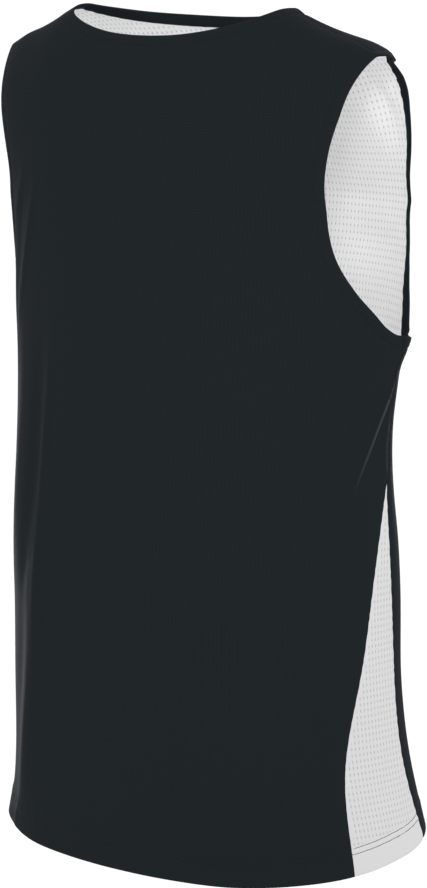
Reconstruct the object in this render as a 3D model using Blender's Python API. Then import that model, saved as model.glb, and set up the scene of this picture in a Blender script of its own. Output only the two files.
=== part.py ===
"""A sleeveless basketball jersey, hollow, as it hangs on its wearer.

Black knit outside, white mesh lining inside, a long white mesh insert in each
side, and a doubled black band round the neck and round each armhole.

Frame: metres, +Z up. The wearer faces -Y, so the back is at +Y and the
wearer's right side is at -X. The origin lies midway between the two points
where the shoulder seams meet the neck seam.

Each piece is cut from a flat outline and wrapped on one worn form. A place on
the form has two coordinates on each half (back or front):
  angle  0 on the centre line, a right angle at the side, + towards the right
  rise   metres up the cloth from the chest level; past 0 it climbs the arch
         that ends on the shoulder line at rise = ARCH_RISE
"""

import math

import bpy
import numpy as np
from mathutils import Vector
from mathutils.geometry import delaunay_2d_cdt

# Cloth
KNIT_WALL = 0.0010
LINING_WALL = 0.0010
SEAM_GAP = 0.0003
BAND_WIDTH = 0.0095
BAND_THICKNESS = 0.0026
BAND_EDGE_ROUND = 0.0008

# Outline
NECK_HALF_WIDTH = 0.137
NECK_DROP_BACK = 0.030
NECK_DROP_FRONT = 0.017
SHOULDER_TIP_X = 0.211
SHOULDER_FALL = 0.032
SHOULDER_FORWARD = 0.008
UNDERARM_HEIGHT = -0.291
SIDE_HEM_HEIGHT = -0.751
HEM_TILT = 0.027
INSERT_TOP_HEIGHT = -0.415

# Worn form
CHEST_HEIGHT = -0.17
ARCH_RISE = 0.22
ARCH_SQUARENESS_BACK = 2.6
ARCH_SQUARENESS_FRONT = 2.05
ROUND = 2.0
FORWARD_LIMIT = 1.2

# Facets
EDGE_SPACING = 0.029
CURVE_SPACING = 0.017
INNER_SPACING = 0.033
INNER_CLEARANCE = 0.55
FIRST_ROW = 0.8
ROW_PITCH = INNER_SPACING * math.sqrt(3) / 2
GIRTH_PER_RADIAN = 0.166
FINE_STEPS = 200
SHARPEST_CORNER = 0.5
SMOOTH_BELOW = math.radians(50)
RIGHT_ANGLE = math.pi / 2
TINY_STEP = 1e-4
SAME_PLACE = 1e-6
DECIMALS = 5

# Colour, linear, and roughness
BLACK = (0.0144, 0.0185, 0.0212)
WHITE = (0.73, 0.73, 0.73)
KNIT_ROUGHNESS = 0.75
MESH_ROUGHNESS = 0.70
BAND_ROUGHNESS = 0.72

BACK = 1
FRONT = -1
WORD = {BACK: "back", FRONT: "front"}

# Level rings of the worn form. Squareness 2 is an ellipse, and more is squarer.
SECTIONS = (
    ("name", "height", "half_width", "side_y", "depth_back", "depth_front", "square_back", "square_front"),
    ("hem", -0.770, 0.225, -0.048, 0.137, 0.135, 2.30, 2.05),
    ("hip", -0.670, 0.209, -0.040, 0.141, 0.115, 2.20, 1.95),
    ("waist", -0.520, 0.205, -0.031, 0.134, 0.106, 2.20, 2.00),
    ("underarm", -0.300, 0.211, -0.039, 0.129, 0.100, 2.20, 1.60),
    ("chest", -0.170, 0.232, -0.041, 0.123, 0.107, 2.20, 2.10),
)

# Seam of the armhole: its distance from the centre on the back and on the front.
ARMHOLE = (
    ("name", "height", "half_width_back", "half_width_front"),
    ("curve", -0.268, 0.207, 0.192),
    ("lower", -0.215, 0.187, 0.168),
    ("middle", -0.150, 0.179, 0.157),
    ("upper", -0.085, 0.188, 0.172),
    ("shoulder", -0.052, 0.196, 0.181),
)

# Seams of the insert: how far round each lies from the side line.
INSERT_EDGES = (
    ("name", "height", "degrees_back", "degrees_front"),
    ("hem", -0.770, 24.0, 16.0),
    ("low", -0.670, 21.0, 8.5),
    ("middle", -0.560, 10.0, 7.5),
    ("top", INSERT_TOP_HEIGHT, 0.0, 0.0),
)

# Folds, each a soft ridge, or a trough where it stands out by less than nothing.
FOLDS = (
    ("name", "half", "top_degrees", "bottom_degrees", "top", "bottom", "width_degrees", "stands_out"),
    ("left back drape", BACK, -40, -58, -0.31, -0.57, 10, 0.0040),
    ("left back hem flute", BACK, -30, -34, -0.50, -0.95, 12, 0.0045),
    ("right back hem flute", BACK, 24, 30, -0.45, -0.95, 13, 0.0040),
    ("right waist pinch", FRONT, 66, 70, -0.29, -0.48, 15, -0.0035),
    ("right side roll", FRONT, 70, 66, -0.42, -0.60, 13, 0.0045),
    ("left waist roll", FRONT, -68, -64, -0.36, -0.58, 14, 0.0040),
    ("front right drape", FRONT, 22, 38, -0.26, -0.56, 12, 0.0045),
    ("front left hem flute", FRONT, -20, -28, -0.48, -0.95, 14, 0.0050),
    ("front right hem flute", FRONT, 30, 34, -0.52, -0.95, 12, 0.0040),
)


def smooth_curve(knots, values, where, first_slope=None, last_slope=None):
    """Cubic curve through the values at the knots, sloped as its neighbours lie."""
    knots = np.asarray(knots, float)
    values = np.asarray(values, float)
    slopes = np.gradient(values, knots)
    if first_slope is not None:
        slopes[0] = first_slope
    if last_slope is not None:
        slopes[-1] = last_slope
    where = np.clip(where, knots[0], knots[-1])
    left = np.clip(np.searchsorted(knots, where) - 1, 0, len(knots) - 2)
    span = knots[left + 1] - knots[left]
    part = (where - knots[left]) / span
    rest = 1 - part
    from_left = values[left] * (1 + 2 * part) + slopes[left] * span * part
    from_right = values[left + 1] * (1 + 2 * rest) - slopes[left + 1] * span * rest
    return from_left * rest * rest + from_right * part * part


def column(table, name):
    place = table[0].index(name)
    return [row[place] for row in table[1:]]


def at_height(table, name, height):
    """A column of a table, read smoothly at any height."""
    return smooth_curve(column(table, "height"), column(table, name), height)


def of_half(name, side):
    return name + "_" + WORD[side]


def signed_power(value, power):
    return np.sign(value) * np.abs(value) ** power


def arch_power(side):
    return ROUND / (ARCH_SQUARENESS_BACK if side == BACK else ARCH_SQUARENESS_FRONT)


def shoulder_line(across):
    """Height and y of the shoulder line at a distance from the centre, rounded over the neck."""
    across = np.abs(across)
    rounded = (across * across / NECK_HALF_WIDTH - NECK_HALF_WIDTH) / 2
    past_neck = np.where(across > NECK_HALF_WIDTH, across - NECK_HALF_WIDTH, rounded)
    out = past_neck / (SHOULDER_TIP_X - NECK_HALF_WIDTH)
    return -SHOULDER_FALL * out, -SHOULDER_FORWARD * np.clip(out, 0, FORWARD_LIMIT)


def smooth_form(side, angle, rise):
    """Outside of the form without its folds, as an array of points."""
    angle, rise = np.broadcast_arrays(np.asarray(angle, float), np.asarray(rise, float))
    climb = np.clip(rise, 0, ARCH_RISE) / ARCH_RISE * RIGHT_ANGLE
    low = CHEST_HEIGHT + np.minimum(rise, 0)
    power = ROUND / at_height(SECTIONS, of_half("square", side), low)
    across = at_height(SECTIONS, "half_width", low) * signed_power(np.sin(angle), power)
    depth = at_height(SECTIONS, of_half("depth", side), low) * signed_power(np.cos(angle), power)
    ring_y = at_height(SECTIONS, "side_y", low) + side * depth
    top_height, top_y = shoulder_line(across)
    y = top_y + (ring_y - top_y) * signed_power(np.cos(climb), arch_power(side))
    height = low + (top_height - CHEST_HEIGHT) * signed_power(np.sin(climb), arch_power(side))
    return np.stack([-across, y, height], axis=-1)


def place_on_form(side, across, height):
    """Angle and rise of the point at a distance from the centre and a height."""
    low = np.minimum(height, CHEST_HEIGHT)
    power = at_height(SECTIONS, of_half("square", side), low) / ROUND
    part = np.clip(np.abs(across) / at_height(SECTIONS, "half_width", low), 0, 1)
    angle = np.sign(across) * np.arcsin(part ** power)
    top_height = shoulder_line(across)[0]
    up = np.clip((height - CHEST_HEIGHT) / (top_height - CHEST_HEIGHT), 0, 1) ** (1 / arch_power(side))
    climb = np.arcsin(up) / RIGHT_ANGLE * ARCH_RISE
    rise = np.where(height < CHEST_HEIGHT, height - CHEST_HEIGHT, climb)
    return np.stack([angle, rise], axis=-1)


def fold_height(side, angle, height):
    """How far the folds lift the cloth off the smooth form, also across the side line."""
    past_side = np.copysign(2 * RIGHT_ANGLE, angle) - angle
    lift = np.zeros_like(height)
    for _, half, top_degrees, bottom_degrees, top, bottom, width, stands_out in FOLDS[1:]:
        seen = angle if half == side else past_side
        down = np.clip((top - height) / (top - bottom), 0, 1)
        middle = np.radians(top_degrees + (bottom_degrees - top_degrees) * down)
        across = (seen - middle) / math.radians(width)
        lift += stands_out * np.exp(-across * across) * np.sin(math.pi * down) ** 2
    return lift


def form_normal(side, angle, rise):
    """Outward direction of the smooth form."""
    along = smooth_form(side, angle + TINY_STEP, rise) - smooth_form(side, angle - TINY_STEP, rise)
    upper = np.minimum(rise + TINY_STEP, ARCH_RISE)
    up = smooth_form(side, angle, upper) - smooth_form(side, angle, upper - 2 * TINY_STEP)
    normal = side * np.cross(along, up)
    return normal / np.linalg.norm(normal, axis=-1, keepdims=True)


def wrap(places, depth):
    """Points of the worn cloth for rows of (half, angle, rise), a depth under its outside."""
    places = np.asarray(places, float)
    points = np.zeros((len(places), 3))
    normals = np.zeros((len(places), 3))
    for side in (BACK, FRONT):
        rows = places[:, 0] == side
        if not rows.any():
            continue
        angle, rise = places[rows, 1], places[rows, 2]
        smooth = smooth_form(side, angle, rise)
        normals[rows] = form_normal(side, angle, rise)
        lift = fold_height(side, angle, smooth[:, 2])
        points[rows] = smooth + normals[rows] * (lift - depth)[:, None]
    return points, normals


def hem_height(side, angle):
    return SIDE_HEM_HEIGHT - side * HEM_TILT * np.cos(angle)


def insert_edge_angle(side, height):
    """Angle of the insert's seam, which leaves the side line at the insert's top."""
    return RIGHT_ANGLE - np.radians(at_height(INSERT_EDGES, of_half("degrees", side), height))


def flat(places):
    """Near-true flat place, in metres, of rows of (angle, rise)."""
    return np.asarray(places, float) * [GIRTH_PER_RADIAN, 1.0]


def even_steps(curve, spacing):
    """Places at even steps along a finely sampled curve, ends included."""
    lengths = np.linalg.norm(np.diff(flat(curve), axis=0), axis=1)
    travelled = np.concatenate([[0.0], np.cumsum(lengths)])
    count = max(1, round(travelled[-1] / spacing))
    stops = np.linspace(0, travelled[-1], count + 1)
    return np.stack([np.interp(stops, travelled, curve[:, axis]) for axis in (0, 1)], axis=-1)


def armhole_curve(side):
    """Seam of the armhole from the underarm to the shoulder tip."""
    underarm = np.array([RIGHT_ANGLE, UNDERARM_HEIGHT - CHEST_HEIGHT])
    half_widths = column(ARMHOLE, of_half("half_width", side))
    rows = [place_on_form(side, *stop) for stop in zip(half_widths, column(ARMHOLE, "height"))]
    tip = place_on_form(side, SHOULDER_TIP_X, -SHOULDER_FALL)
    stops = np.array([underarm, *rows, tip])
    lengths = np.linalg.norm(np.diff(flat(stops), axis=0), axis=1)
    knots = np.concatenate([[0.0], np.cumsum(lengths)])
    where = np.linspace(0, knots[-1], FINE_STEPS)
    angle = smooth_curve(knots, stops[:, 0], where, first_slope=-1 / GIRTH_PER_RADIAN)
    rise = smooth_curve(knots, stops[:, 1], where, first_slope=0.0)
    return np.stack([angle, rise], axis=-1)


def neck_curve(side):
    """Neck seam from the right neck point to the centre line."""
    turn = np.linspace(RIGHT_ANGLE, 0, FINE_STEPS)
    drop = NECK_DROP_BACK if side == BACK else NECK_DROP_FRONT
    return place_on_form(side, NECK_HALF_WIDTH * np.sin(turn), -drop * np.cos(turn))


def hem_curve(side, start_angle, end_angle):
    angles = np.linspace(start_angle, end_angle, FINE_STEPS)
    return np.stack([angles, hem_height(side, angles) - CHEST_HEIGHT], axis=-1)


def insert_seam(side, foot):
    """Seam of the insert from its foot on the hem to its top on the side line."""
    heights = np.linspace(foot[1] + CHEST_HEIGHT, INSERT_TOP_HEIGHT, FINE_STEPS)
    seam = np.stack([insert_edge_angle(side, heights), heights - CHEST_HEIGHT], axis=-1)
    seam[0] = foot
    return even_steps(seam, EDGE_SPACING)


def side_line(low, high):
    return np.array([[RIGHT_ANGLE, low - CHEST_HEIGHT], [RIGHT_ANGLE, high - CHEST_HEIGHT]])


def right_half_edges(side):
    """Edges of a half from the hem's centre, by the right side, to the neck's centre."""
    hem_there = hem_height(side, insert_edge_angle(side, SIDE_HEM_HEIGHT))
    seam_angle = float(insert_edge_angle(side, hem_there))
    tip = place_on_form(side, SHOULDER_TIP_X, -SHOULDER_FALL)
    neck_point = place_on_form(side, NECK_HALF_WIDTH, 0.0)
    return {
        "panel hem": even_steps(hem_curve(side, 0.0, seam_angle), EDGE_SPACING),
        "insert hem": even_steps(hem_curve(side, seam_angle, RIGHT_ANGLE), EDGE_SPACING),
        "insert side": even_steps(side_line(SIDE_HEM_HEIGHT, INSERT_TOP_HEIGHT), EDGE_SPACING),
        "side seam": even_steps(side_line(INSERT_TOP_HEIGHT, UNDERARM_HEIGHT), EDGE_SPACING),
        "armhole": even_steps(armhole_curve(side), CURVE_SPACING),
        "shoulder": even_steps(np.array([tip, neck_point]), EDGE_SPACING),
        "neck": even_steps(neck_curve(side), CURVE_SPACING),
    }


def mirrored(edge):
    return edge[::-1] * [-1.0, 1.0]


def inside(point, polygon):
    crossings = 0
    for (x0, y0), (x1, y1) in zip(polygon, np.roll(polygon, -1, axis=0)):
        if (y0 > point[1]) != (y1 > point[1]):
            crossings += x0 + (point[1] - y0) * (x1 - x0) / (y1 - y0) > point[0]
    return crossings % 2 == 1


def distance_to_run(point, run):
    """Least distance from a flat point to a run of straight edges."""
    start, step = run[:-1], np.diff(run, axis=0)
    part = np.clip(((point - start) * step).sum(axis=1) / (step * step).sum(axis=1), 0, 1)
    return np.linalg.norm(start + step * part[:, None] - point, axis=1).min()


def inner_places(runs):
    """Places on an even three-way grid inside the first run, clear of every run."""
    outline = runs[0]
    low, high = outline.min(axis=0), outline.max(axis=0)
    reach = int(high[0] / INNER_SPACING) + 1
    found = []
    for row in range(int((high[1] - low[1]) / ROW_PITCH)):
        shift = (row % 2) / 2
        for step in range(-reach, reach + 1):
            place = np.array([(step + shift) * INNER_SPACING, low[1] + (row + FIRST_ROW) * ROW_PITCH])
            if not inside(place, outline):
                continue
            if min(distance_to_run(place, run) for run in runs) > INNER_CLEARANCE * INNER_SPACING:
                found.append(tuple(place / [GIRTH_PER_RADIAN, 1.0]))
    return found


def part_at(side, middle):
    """Which piece covers a place of the half."""
    on_insert = abs(middle[0]) > insert_edge_angle(side, middle[1] + CHEST_HEIGHT)
    if middle[1] > INSERT_TOP_HEIGHT - CHEST_HEIGHT or not on_insert:
        return "panel"
    return "right insert" if middle[0] > 0 else "left insert"


def cut_half(side):
    """Places of one half of the cloth, and the facets of its panel and its two insert halves."""
    edges = right_half_edges(side)
    right = np.concatenate([edge[:-1] for edge in edges.values()] + [edges["neck"][-1:]])
    outline = np.concatenate([right, mirrored(right)[1:-1]])
    seam = insert_seam(side, edges["panel hem"][-1])
    seams = [seam, mirrored(seam)]
    runs = [flat(run) for run in (np.vstack([outline, outline[:1]]), *seams)]

    places = [tuple(place) for place in outline]
    links = [(corner, (corner + 1) % len(places)) for corner in range(len(places))]
    for run in seams:
        first, last = (int(np.argmin(np.linalg.norm(outline - end, axis=1))) for end in (run[0], run[-1]))
        chain = [first, *range(len(places), len(places) + len(run) - 2), last]
        places += [tuple(place) for place in run[1:-1]]
        links += list(zip(chain[:-1], chain[1:]))
    places += inner_places(runs)
    flat_places = [Vector(place) for place in flat(places)]
    triangles, origins = delaunay_2d_cdt(flat_places, links, [], 1, SAME_PLACE)[2:4]
    ordered = np.array([places[origin[0]] for origin in origins])

    parts = {"panel": [], "right insert": [], "left insert": []}
    for triangle in triangles:
        name = part_at(side, ordered[list(triangle)].mean(axis=0))
        parts[name].append(list(triangle) if side == BACK else list(reversed(triangle)))
    return np.column_stack([np.full(len(ordered), side), ordered]), parts


def join(rows_and_triangles):
    """One list of places and triangles, sharing the places on the side line."""
    places, triangles, known = [], [], {}
    for rows, faces in rows_and_triangles:
        for face in faces:
            corners = []
            for corner in face:
                half, angle, rise = rows[corner]
                on_side = abs(abs(angle) - RIGHT_ANGLE) < TINY_STEP
                key = (0 if on_side else half, round(angle, DECIMALS), round(rise, DECIMALS))
                if key not in known:
                    known[key] = len(places)
                    places.append((half, angle, rise))
                corners.append(known[key])
            triangles.append(corners)
    return np.array(places), triangles


def border(triangles):
    """The open edges, each with its own facet on its left."""
    turns = {(face[turn - 1], face[turn]) for face in triangles for turn in range(3)}
    return sorted((start, end) for start, end in turns if (end, start) not in turns)


def drawn_in(points, normals, edges):
    """The points, with the open edges moved in along the cloth by half a seam gap."""
    pulls = {}
    for start, end in edges:
        for corner in (start, end):
            inward = np.cross(normals[corner], points[end] - points[start])
            pulls.setdefault(corner, []).append(inward / np.linalg.norm(inward))
    moved = points.copy()
    for corner, (first, second) in pulls.items():
        mitre = max(1 + float(first @ second), SHARPEST_CORNER)
        moved[corner] += (first + second) * SEAM_GAP / 2 / mitre
    return moved


def cloth_piece(name, rows_and_triangles, outer_depth, wall, material):
    """A closed wall of cloth that stops half a seam gap short of its seam lines."""
    places, triangles = join(rows_and_triangles)
    edges = border(triangles)
    layers = [drawn_in(*wrap(places, depth), edges) for depth in (outer_depth, outer_depth + wall)]
    count = len(places)
    faces = [tuple(face) for face in triangles]
    faces += [tuple(corner + count for corner in reversed(face)) for face in triangles]
    for start, end in edges:
        faces.append((end, start, start + count))
        faces.append((end, start + count, end + count))
    make_object(name, np.vstack(layers), faces, material)


def band_loop(halves, sign):
    """Places of a closed seam: the back's stretch, then the front's."""
    back, front = (half * [sign, 1.0] for half in halves)
    rows = [(BACK, *place) for place in back]
    rows += [(FRONT, *place) for place in front[1:-1]]
    return np.array(rows)


def band(name, rows, material):
    """A doubled strip that stands past its seam, round the opening."""
    points, normals = wrap(rows, (KNIT_WALL + SEAM_GAP + LINING_WALL) / 2)
    along = np.roll(points, -1, axis=0) - np.roll(points, 1, axis=0)
    along /= np.linalg.norm(along, axis=1, keepdims=True)
    inward = np.cross(normals, along)
    if ((points.mean(axis=0) - points) * inward).sum() < 0:
        inward = -inward
    half = BAND_THICKNESS / 2
    near = SEAM_GAP / 2
    far = near + BAND_WIDTH
    section = (
        (near, -half),
        (far - BAND_EDGE_ROUND, -half),
        (far, 0.0),
        (far - BAND_EDGE_ROUND, half),
        (near, half),
    )
    rings = [points + inward * reach + normals * level for reach, level in section]
    count, sides = len(points), len(section)
    vertices = np.stack(rings, axis=1).reshape(-1, 3)
    faces = []
    for step in range(count):
        here, there = step * sides, (step + 1) % count * sides
        for corner in range(sides):
            after = (corner + 1) % sides
            faces.append((here + corner, here + after, there + after))
            faces.append((here + corner, there + after, there + corner))
    if (np.cross(inward, normals) * along).sum() < 0:
        faces = [tuple(reversed(face)) for face in faces]
    make_object(name, vertices, faces, material)


def make_material(name, colour, roughness):
    material = bpy.data.materials.new(name)
    material.use_nodes = True
    shader = material.node_tree.nodes["Principled BSDF"]
    shader.inputs["Base Color"].default_value = (*colour, 1.0)
    shader.inputs["Roughness"].default_value = roughness
    shader.inputs["Metallic"].default_value = 0.0
    return material


def make_object(name, vertices, faces, material):
    mesh = bpy.data.meshes.new(name)
    mesh.from_pydata([tuple(vertex) for vertex in vertices], [], faces)
    mesh.shade_smooth()
    mesh.set_sharp_from_angle(angle=SMOOTH_BELOW)
    mesh.materials.append(material)
    jersey_object = bpy.data.objects.new(name, mesh)
    bpy.context.scene.collection.objects.link(jersey_object)
    return jersey_object


def build_jersey():
    for old in list(bpy.data.objects):
        bpy.data.objects.remove(old, do_unlink=True)
    halves = {side: cut_half(side) for side in (BACK, FRONT)}
    for side, (rows, parts) in halves.items():
        knit = make_material(WORD[side] + "_knit", BLACK, KNIT_ROUGHNESS)
        cloth_piece(WORD[side] + "_panel", [(rows, parts["panel"])], 0.0, KNIT_WALL, knit)
        mesh_cloth = make_material(WORD[side] + "_lining_mesh", WHITE, MESH_ROUGHNESS)
        whole_half = [(rows, faces) for faces in parts.values()]
        cloth_piece(WORD[side] + "_lining", whole_half, KNIT_WALL + SEAM_GAP, LINING_WALL, mesh_cloth)
    for hand in ("right", "left"):
        insert_halves = [(rows, parts[hand + " insert"]) for rows, parts in halves.values()]
        mesh_cloth = make_material(hand + "_insert_mesh", WHITE, MESH_ROUGHNESS)
        cloth_piece("side_insert_" + hand, insert_halves, 0.0, KNIT_WALL, mesh_cloth)

    edges = {side: right_half_edges(side) for side in (BACK, FRONT)}
    for hand, sign in (("right", 1), ("left", -1)):
        stretches = (edges[BACK]["armhole"], edges[FRONT]["armhole"][::-1])
        trim = make_material("armhole_band_knit_" + hand, BLACK, BAND_ROUGHNESS)
        band("armhole_band_" + hand, band_loop(stretches, sign), trim)
    right_necks = (edges[BACK]["neck"], edges[FRONT]["neck"])
    necks = [np.concatenate([right, mirrored(right)[1:]]) for right in right_necks]
    trim = make_material("neck_band_knit", BLACK, BAND_ROUGHNESS)
    band("neck_band", band_loop((necks[0], necks[1][::-1]), 1), trim)


build_jersey()
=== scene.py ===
# %% [markdown]
# # A reversible basketball jersey, hollow as it is worn
#
# The real jersey is two light cloths sewn back to back: a black knit outside and a white pinhole
# mesh inside, with a long white mesh triangle let into each side, and doubled black bands round
# the neck and the armholes. Here each piece is cut from its own flat outline and laid on one worn
# form, so that seams meet as sewn ones do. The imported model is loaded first: its box and its
# pieces are the frame that everything below has to fit.

# %% Load the frame
import math

import bpy
import numpy as np
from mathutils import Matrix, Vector
from mathutils.geometry import delaunay_2d_cdt


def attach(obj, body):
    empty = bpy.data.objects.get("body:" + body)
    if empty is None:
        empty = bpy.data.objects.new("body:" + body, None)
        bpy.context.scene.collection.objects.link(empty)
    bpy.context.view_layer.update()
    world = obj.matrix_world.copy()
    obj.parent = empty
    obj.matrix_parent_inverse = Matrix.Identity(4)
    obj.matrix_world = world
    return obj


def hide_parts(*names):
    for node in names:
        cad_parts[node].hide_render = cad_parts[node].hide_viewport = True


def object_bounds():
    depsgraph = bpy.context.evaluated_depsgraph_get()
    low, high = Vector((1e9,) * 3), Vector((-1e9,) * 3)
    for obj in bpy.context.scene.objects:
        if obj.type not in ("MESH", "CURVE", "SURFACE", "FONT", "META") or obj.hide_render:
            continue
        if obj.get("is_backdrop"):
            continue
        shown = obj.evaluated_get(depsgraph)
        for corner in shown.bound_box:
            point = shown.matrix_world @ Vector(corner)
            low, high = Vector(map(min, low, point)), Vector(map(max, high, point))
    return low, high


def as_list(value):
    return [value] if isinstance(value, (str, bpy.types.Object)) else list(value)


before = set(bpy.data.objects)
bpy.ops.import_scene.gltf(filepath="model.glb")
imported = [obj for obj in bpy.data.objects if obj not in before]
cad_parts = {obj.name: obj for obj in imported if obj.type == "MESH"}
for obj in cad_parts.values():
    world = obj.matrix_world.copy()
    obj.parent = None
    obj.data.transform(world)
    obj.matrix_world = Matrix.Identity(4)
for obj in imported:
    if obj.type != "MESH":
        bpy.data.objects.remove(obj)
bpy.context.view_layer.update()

print("pieces of the frame:", sorted(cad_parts))

# %% [markdown]
# ## The cut
#
# A pattern maker keeps the sizes of a jersey in short tables, and so does this lesson. Heights
# are metres from the neck points, where the shoulder seams meet the neck seam. The level rings
# say how wide and how deep the worn jersey is at each height, and squareness says how far each
# ring fills its corners: 2 is an ellipse. The other tables place the armhole seam and the two
# seams of the side insert.

# %% Sizes of the jersey
BACK, FRONT = 1, -1
WORD = {BACK: "back", FRONT: "front"}
RIGHT_ANGLE = math.pi / 2

NECK_HALF_WIDTH = 0.1285
NECK_DROP, NECK_ROUNDING = {BACK: 0.0304, FRONT: 0.0174}, {BACK: 1.37, FRONT: 1.35}
SHOULDER_TIP_X, SHOULDER_TIP_HEIGHT, SHOULDER_FORWARD = 0.205, -0.0318, 0.009
UNDERARM_HEIGHT, INSERT_TOP_HEIGHT = -0.291, -0.415
SIDE_HEM_HEIGHT, HEM_TILT = -0.7518, 0.027
CHEST_HEIGHT, ARCH_RISE = -0.17, 0.22
ROUND, FORWARD_LIMIT, GIRTH_PER_RADIAN = 2.0, 1.2, 0.166

SECTIONS = (
    ("name", "height", "half_width", "side_y", "depth_back", "depth_front", "square_back", "square_front"),
    ("hem", -0.770, 0.225, -0.048, 0.137, 0.135, 2.30, 2.05),
    ("hip", -0.670, 0.209, -0.040, 0.141, 0.115, 2.20, 1.95),
    ("waist", -0.520, 0.205, -0.031, 0.134, 0.106, 2.20, 2.00),
    ("underarm", -0.300, 0.211, -0.039, 0.129, 0.100, 2.20, 1.60),
    ("chest", -0.170, 0.232, -0.041, 0.1212, 0.107, 2.20, 2.10),
)
ARCH = (
    ("across", "back", "front"),
    (0.0, 2.24, 1.50),
    (0.115, 2.41, 1.40),
    (0.155, 2.63, 1.81),
    (0.195, 2.97, 2.46),
    (0.240, 2.97, 2.46),
)
SHOULDER = (
    ("out", "height"),
    (-1.0, 0.0320),
    (0.0, 0.0),
    (0.25, -0.0094),
    (0.50, -0.0171),
    (0.75, -0.0233),
    (1.0, SHOULDER_TIP_HEIGHT),
    (1.4, -0.0363),
)
ARMHOLE = (
    ("height", "half_width_back", "half_width_front"),
    (-0.283, 0.2111, 0.1881),
    (-0.268, 0.2080, 0.1860),
    (-0.245, 0.1989, 0.1786),
    (-0.215, 0.1878, 0.1726),
    (-0.182, 0.1821, 0.1629),
    (-0.150, 0.1794, 0.1610),
    (-0.118, 0.1818, 0.1667),
    (-0.085, 0.1887, 0.1717),
    (-0.060, 0.1945, 0.1750),
    (-0.043, 0.2004, 0.1757),
)
INSERT_EDGES = (
    ("name", "height", "degrees_back", "degrees_front"),
    ("hem", -0.770, 23.6, 16.5),
    ("low", -0.670, 20.3, 9.6),
    ("middle", -0.560, 9.4, 7.5),
    ("top", INSERT_TOP_HEIGHT, 0.0, 0.0),
)
print("rings:", len(SECTIONS) - 1, " armhole stops:", len(ARMHOLE) - 1)

# %% Read a table smoothly at any height
def smooth_curve(knots, values, where, first_slope=None):
    """A curve through the values at the knots, smooth where its pieces meet."""
    knots, values = np.asarray(knots, float), np.asarray(values, float)
    slopes = np.gradient(values, knots)
    if first_slope is not None:
        slopes[0] = first_slope
    where = np.clip(where, knots[0], knots[-1])
    left = np.clip(np.searchsorted(knots, where) - 1, 0, len(knots) - 2)
    span = knots[left + 1] - knots[left]
    part = (where - knots[left]) / span
    rest = 1 - part
    from_left = values[left] * (1 + 2 * part) + slopes[left] * span * part
    from_right = values[left + 1] * (1 + 2 * rest) - slopes[left + 1] * span * rest
    return from_left * rest * rest + from_right * part * part


def smooth_step(value):
    """0 below 0, 1 above 1, and smooth between."""
    value = np.clip(value, 0, 1)
    return value * value * (3 - 2 * value)


def bell(distance, width):
    """1 at no distance, fading to nothing past about twice the width."""
    return np.exp(-(distance / width) ** 2)


def column(table, name):
    """One named column of a table, without its heading."""
    place = table[0].index(name)
    return [row[place] for row in table[1:]]


def at_height(table, name, height):
    """One named column, read at any height."""
    return smooth_curve(column(table, "height"), column(table, name), height)


WAIST = -0.52
print("half width at the waist:", round(float(at_height(SECTIONS, "half_width", WAIST)), 3), "m")

# %% [markdown]
# ## The worn form
#
# Filled out as on a wearer, the jersey is a tube that closes over the shoulders in an arch. A
# place on it has two coordinates on each half: an angle, which is 0 on the centre line and a
# right angle at the side, and a rise in metres from the chest level, which above the chest
# climbs the arch up to the shoulder line. A simulation over a figure would need the figure, and
# its folds would fall anywhere, so the form is a formula and the folds are laid on it one by one.

# %% Powers and directions
NOTHING = 1e-12


def signed_power(value, power):
    """A power that keeps the sign."""
    return np.sign(value) * np.abs(value) ** power


def unit(vectors):
    """The same directions, each one long."""
    return vectors / np.maximum(np.linalg.norm(vectors, axis=-1, keepdims=True), NOTHING)


print("a direction, one long:", unit(np.array([3.0, 4.0, 0.0])))

# %% The shoulder and its arch
def shoulder_line(across):
    """Height and place from front to back of the arch's top, at a distance from the middle."""
    across = np.abs(across)
    rounded = (across * across / NECK_HALF_WIDTH - NECK_HALF_WIDTH) / 2
    past_neck = np.where(across > NECK_HALF_WIDTH, across - NECK_HALF_WIDTH, rounded)
    out = past_neck / (SHOULDER_TIP_X - NECK_HALF_WIDTH)
    height = smooth_curve(column(SHOULDER, "out"), column(SHOULDER, "height"), out)
    return height, -SHOULDER_FORWARD * np.clip(out, 0, FORWARD_LIMIT)


def arch_power(half, across):
    """How far the arch over the shoulder fills its corner."""
    return ROUND / smooth_curve(column(ARCH, "across"), column(ARCH, WORD[half]), np.abs(across))


print("height of the shoulder's tip:", round(float(shoulder_line(SHOULDER_TIP_X)[0]), 4), "m")

# %% The form without folds
PROBE = 1e-4


def smooth_form(half, angle, rise):
    """Points of the worn form, before any fold."""
    angle, rise = np.broadcast_arrays(np.asarray(angle, float), np.asarray(rise, float))
    climb = np.clip(rise, 0, ARCH_RISE) / ARCH_RISE * RIGHT_ANGLE
    low = CHEST_HEIGHT + np.minimum(rise, 0)
    power = ROUND / at_height(SECTIONS, "square_" + WORD[half], low)
    across = at_height(SECTIONS, "half_width", low) * signed_power(np.sin(angle), power)
    depth = at_height(SECTIONS, "depth_" + WORD[half], low) * signed_power(np.cos(angle), power)
    ring_y = at_height(SECTIONS, "side_y", low) + half * depth
    top_height, top_y = shoulder_line(across)
    arch = arch_power(half, across)
    y = top_y + (ring_y - top_y) * signed_power(np.cos(climb), arch)
    height = low + (top_height - CHEST_HEIGHT) * signed_power(np.sin(climb), arch)
    return np.stack([-across, y, height], axis=-1)


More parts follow.
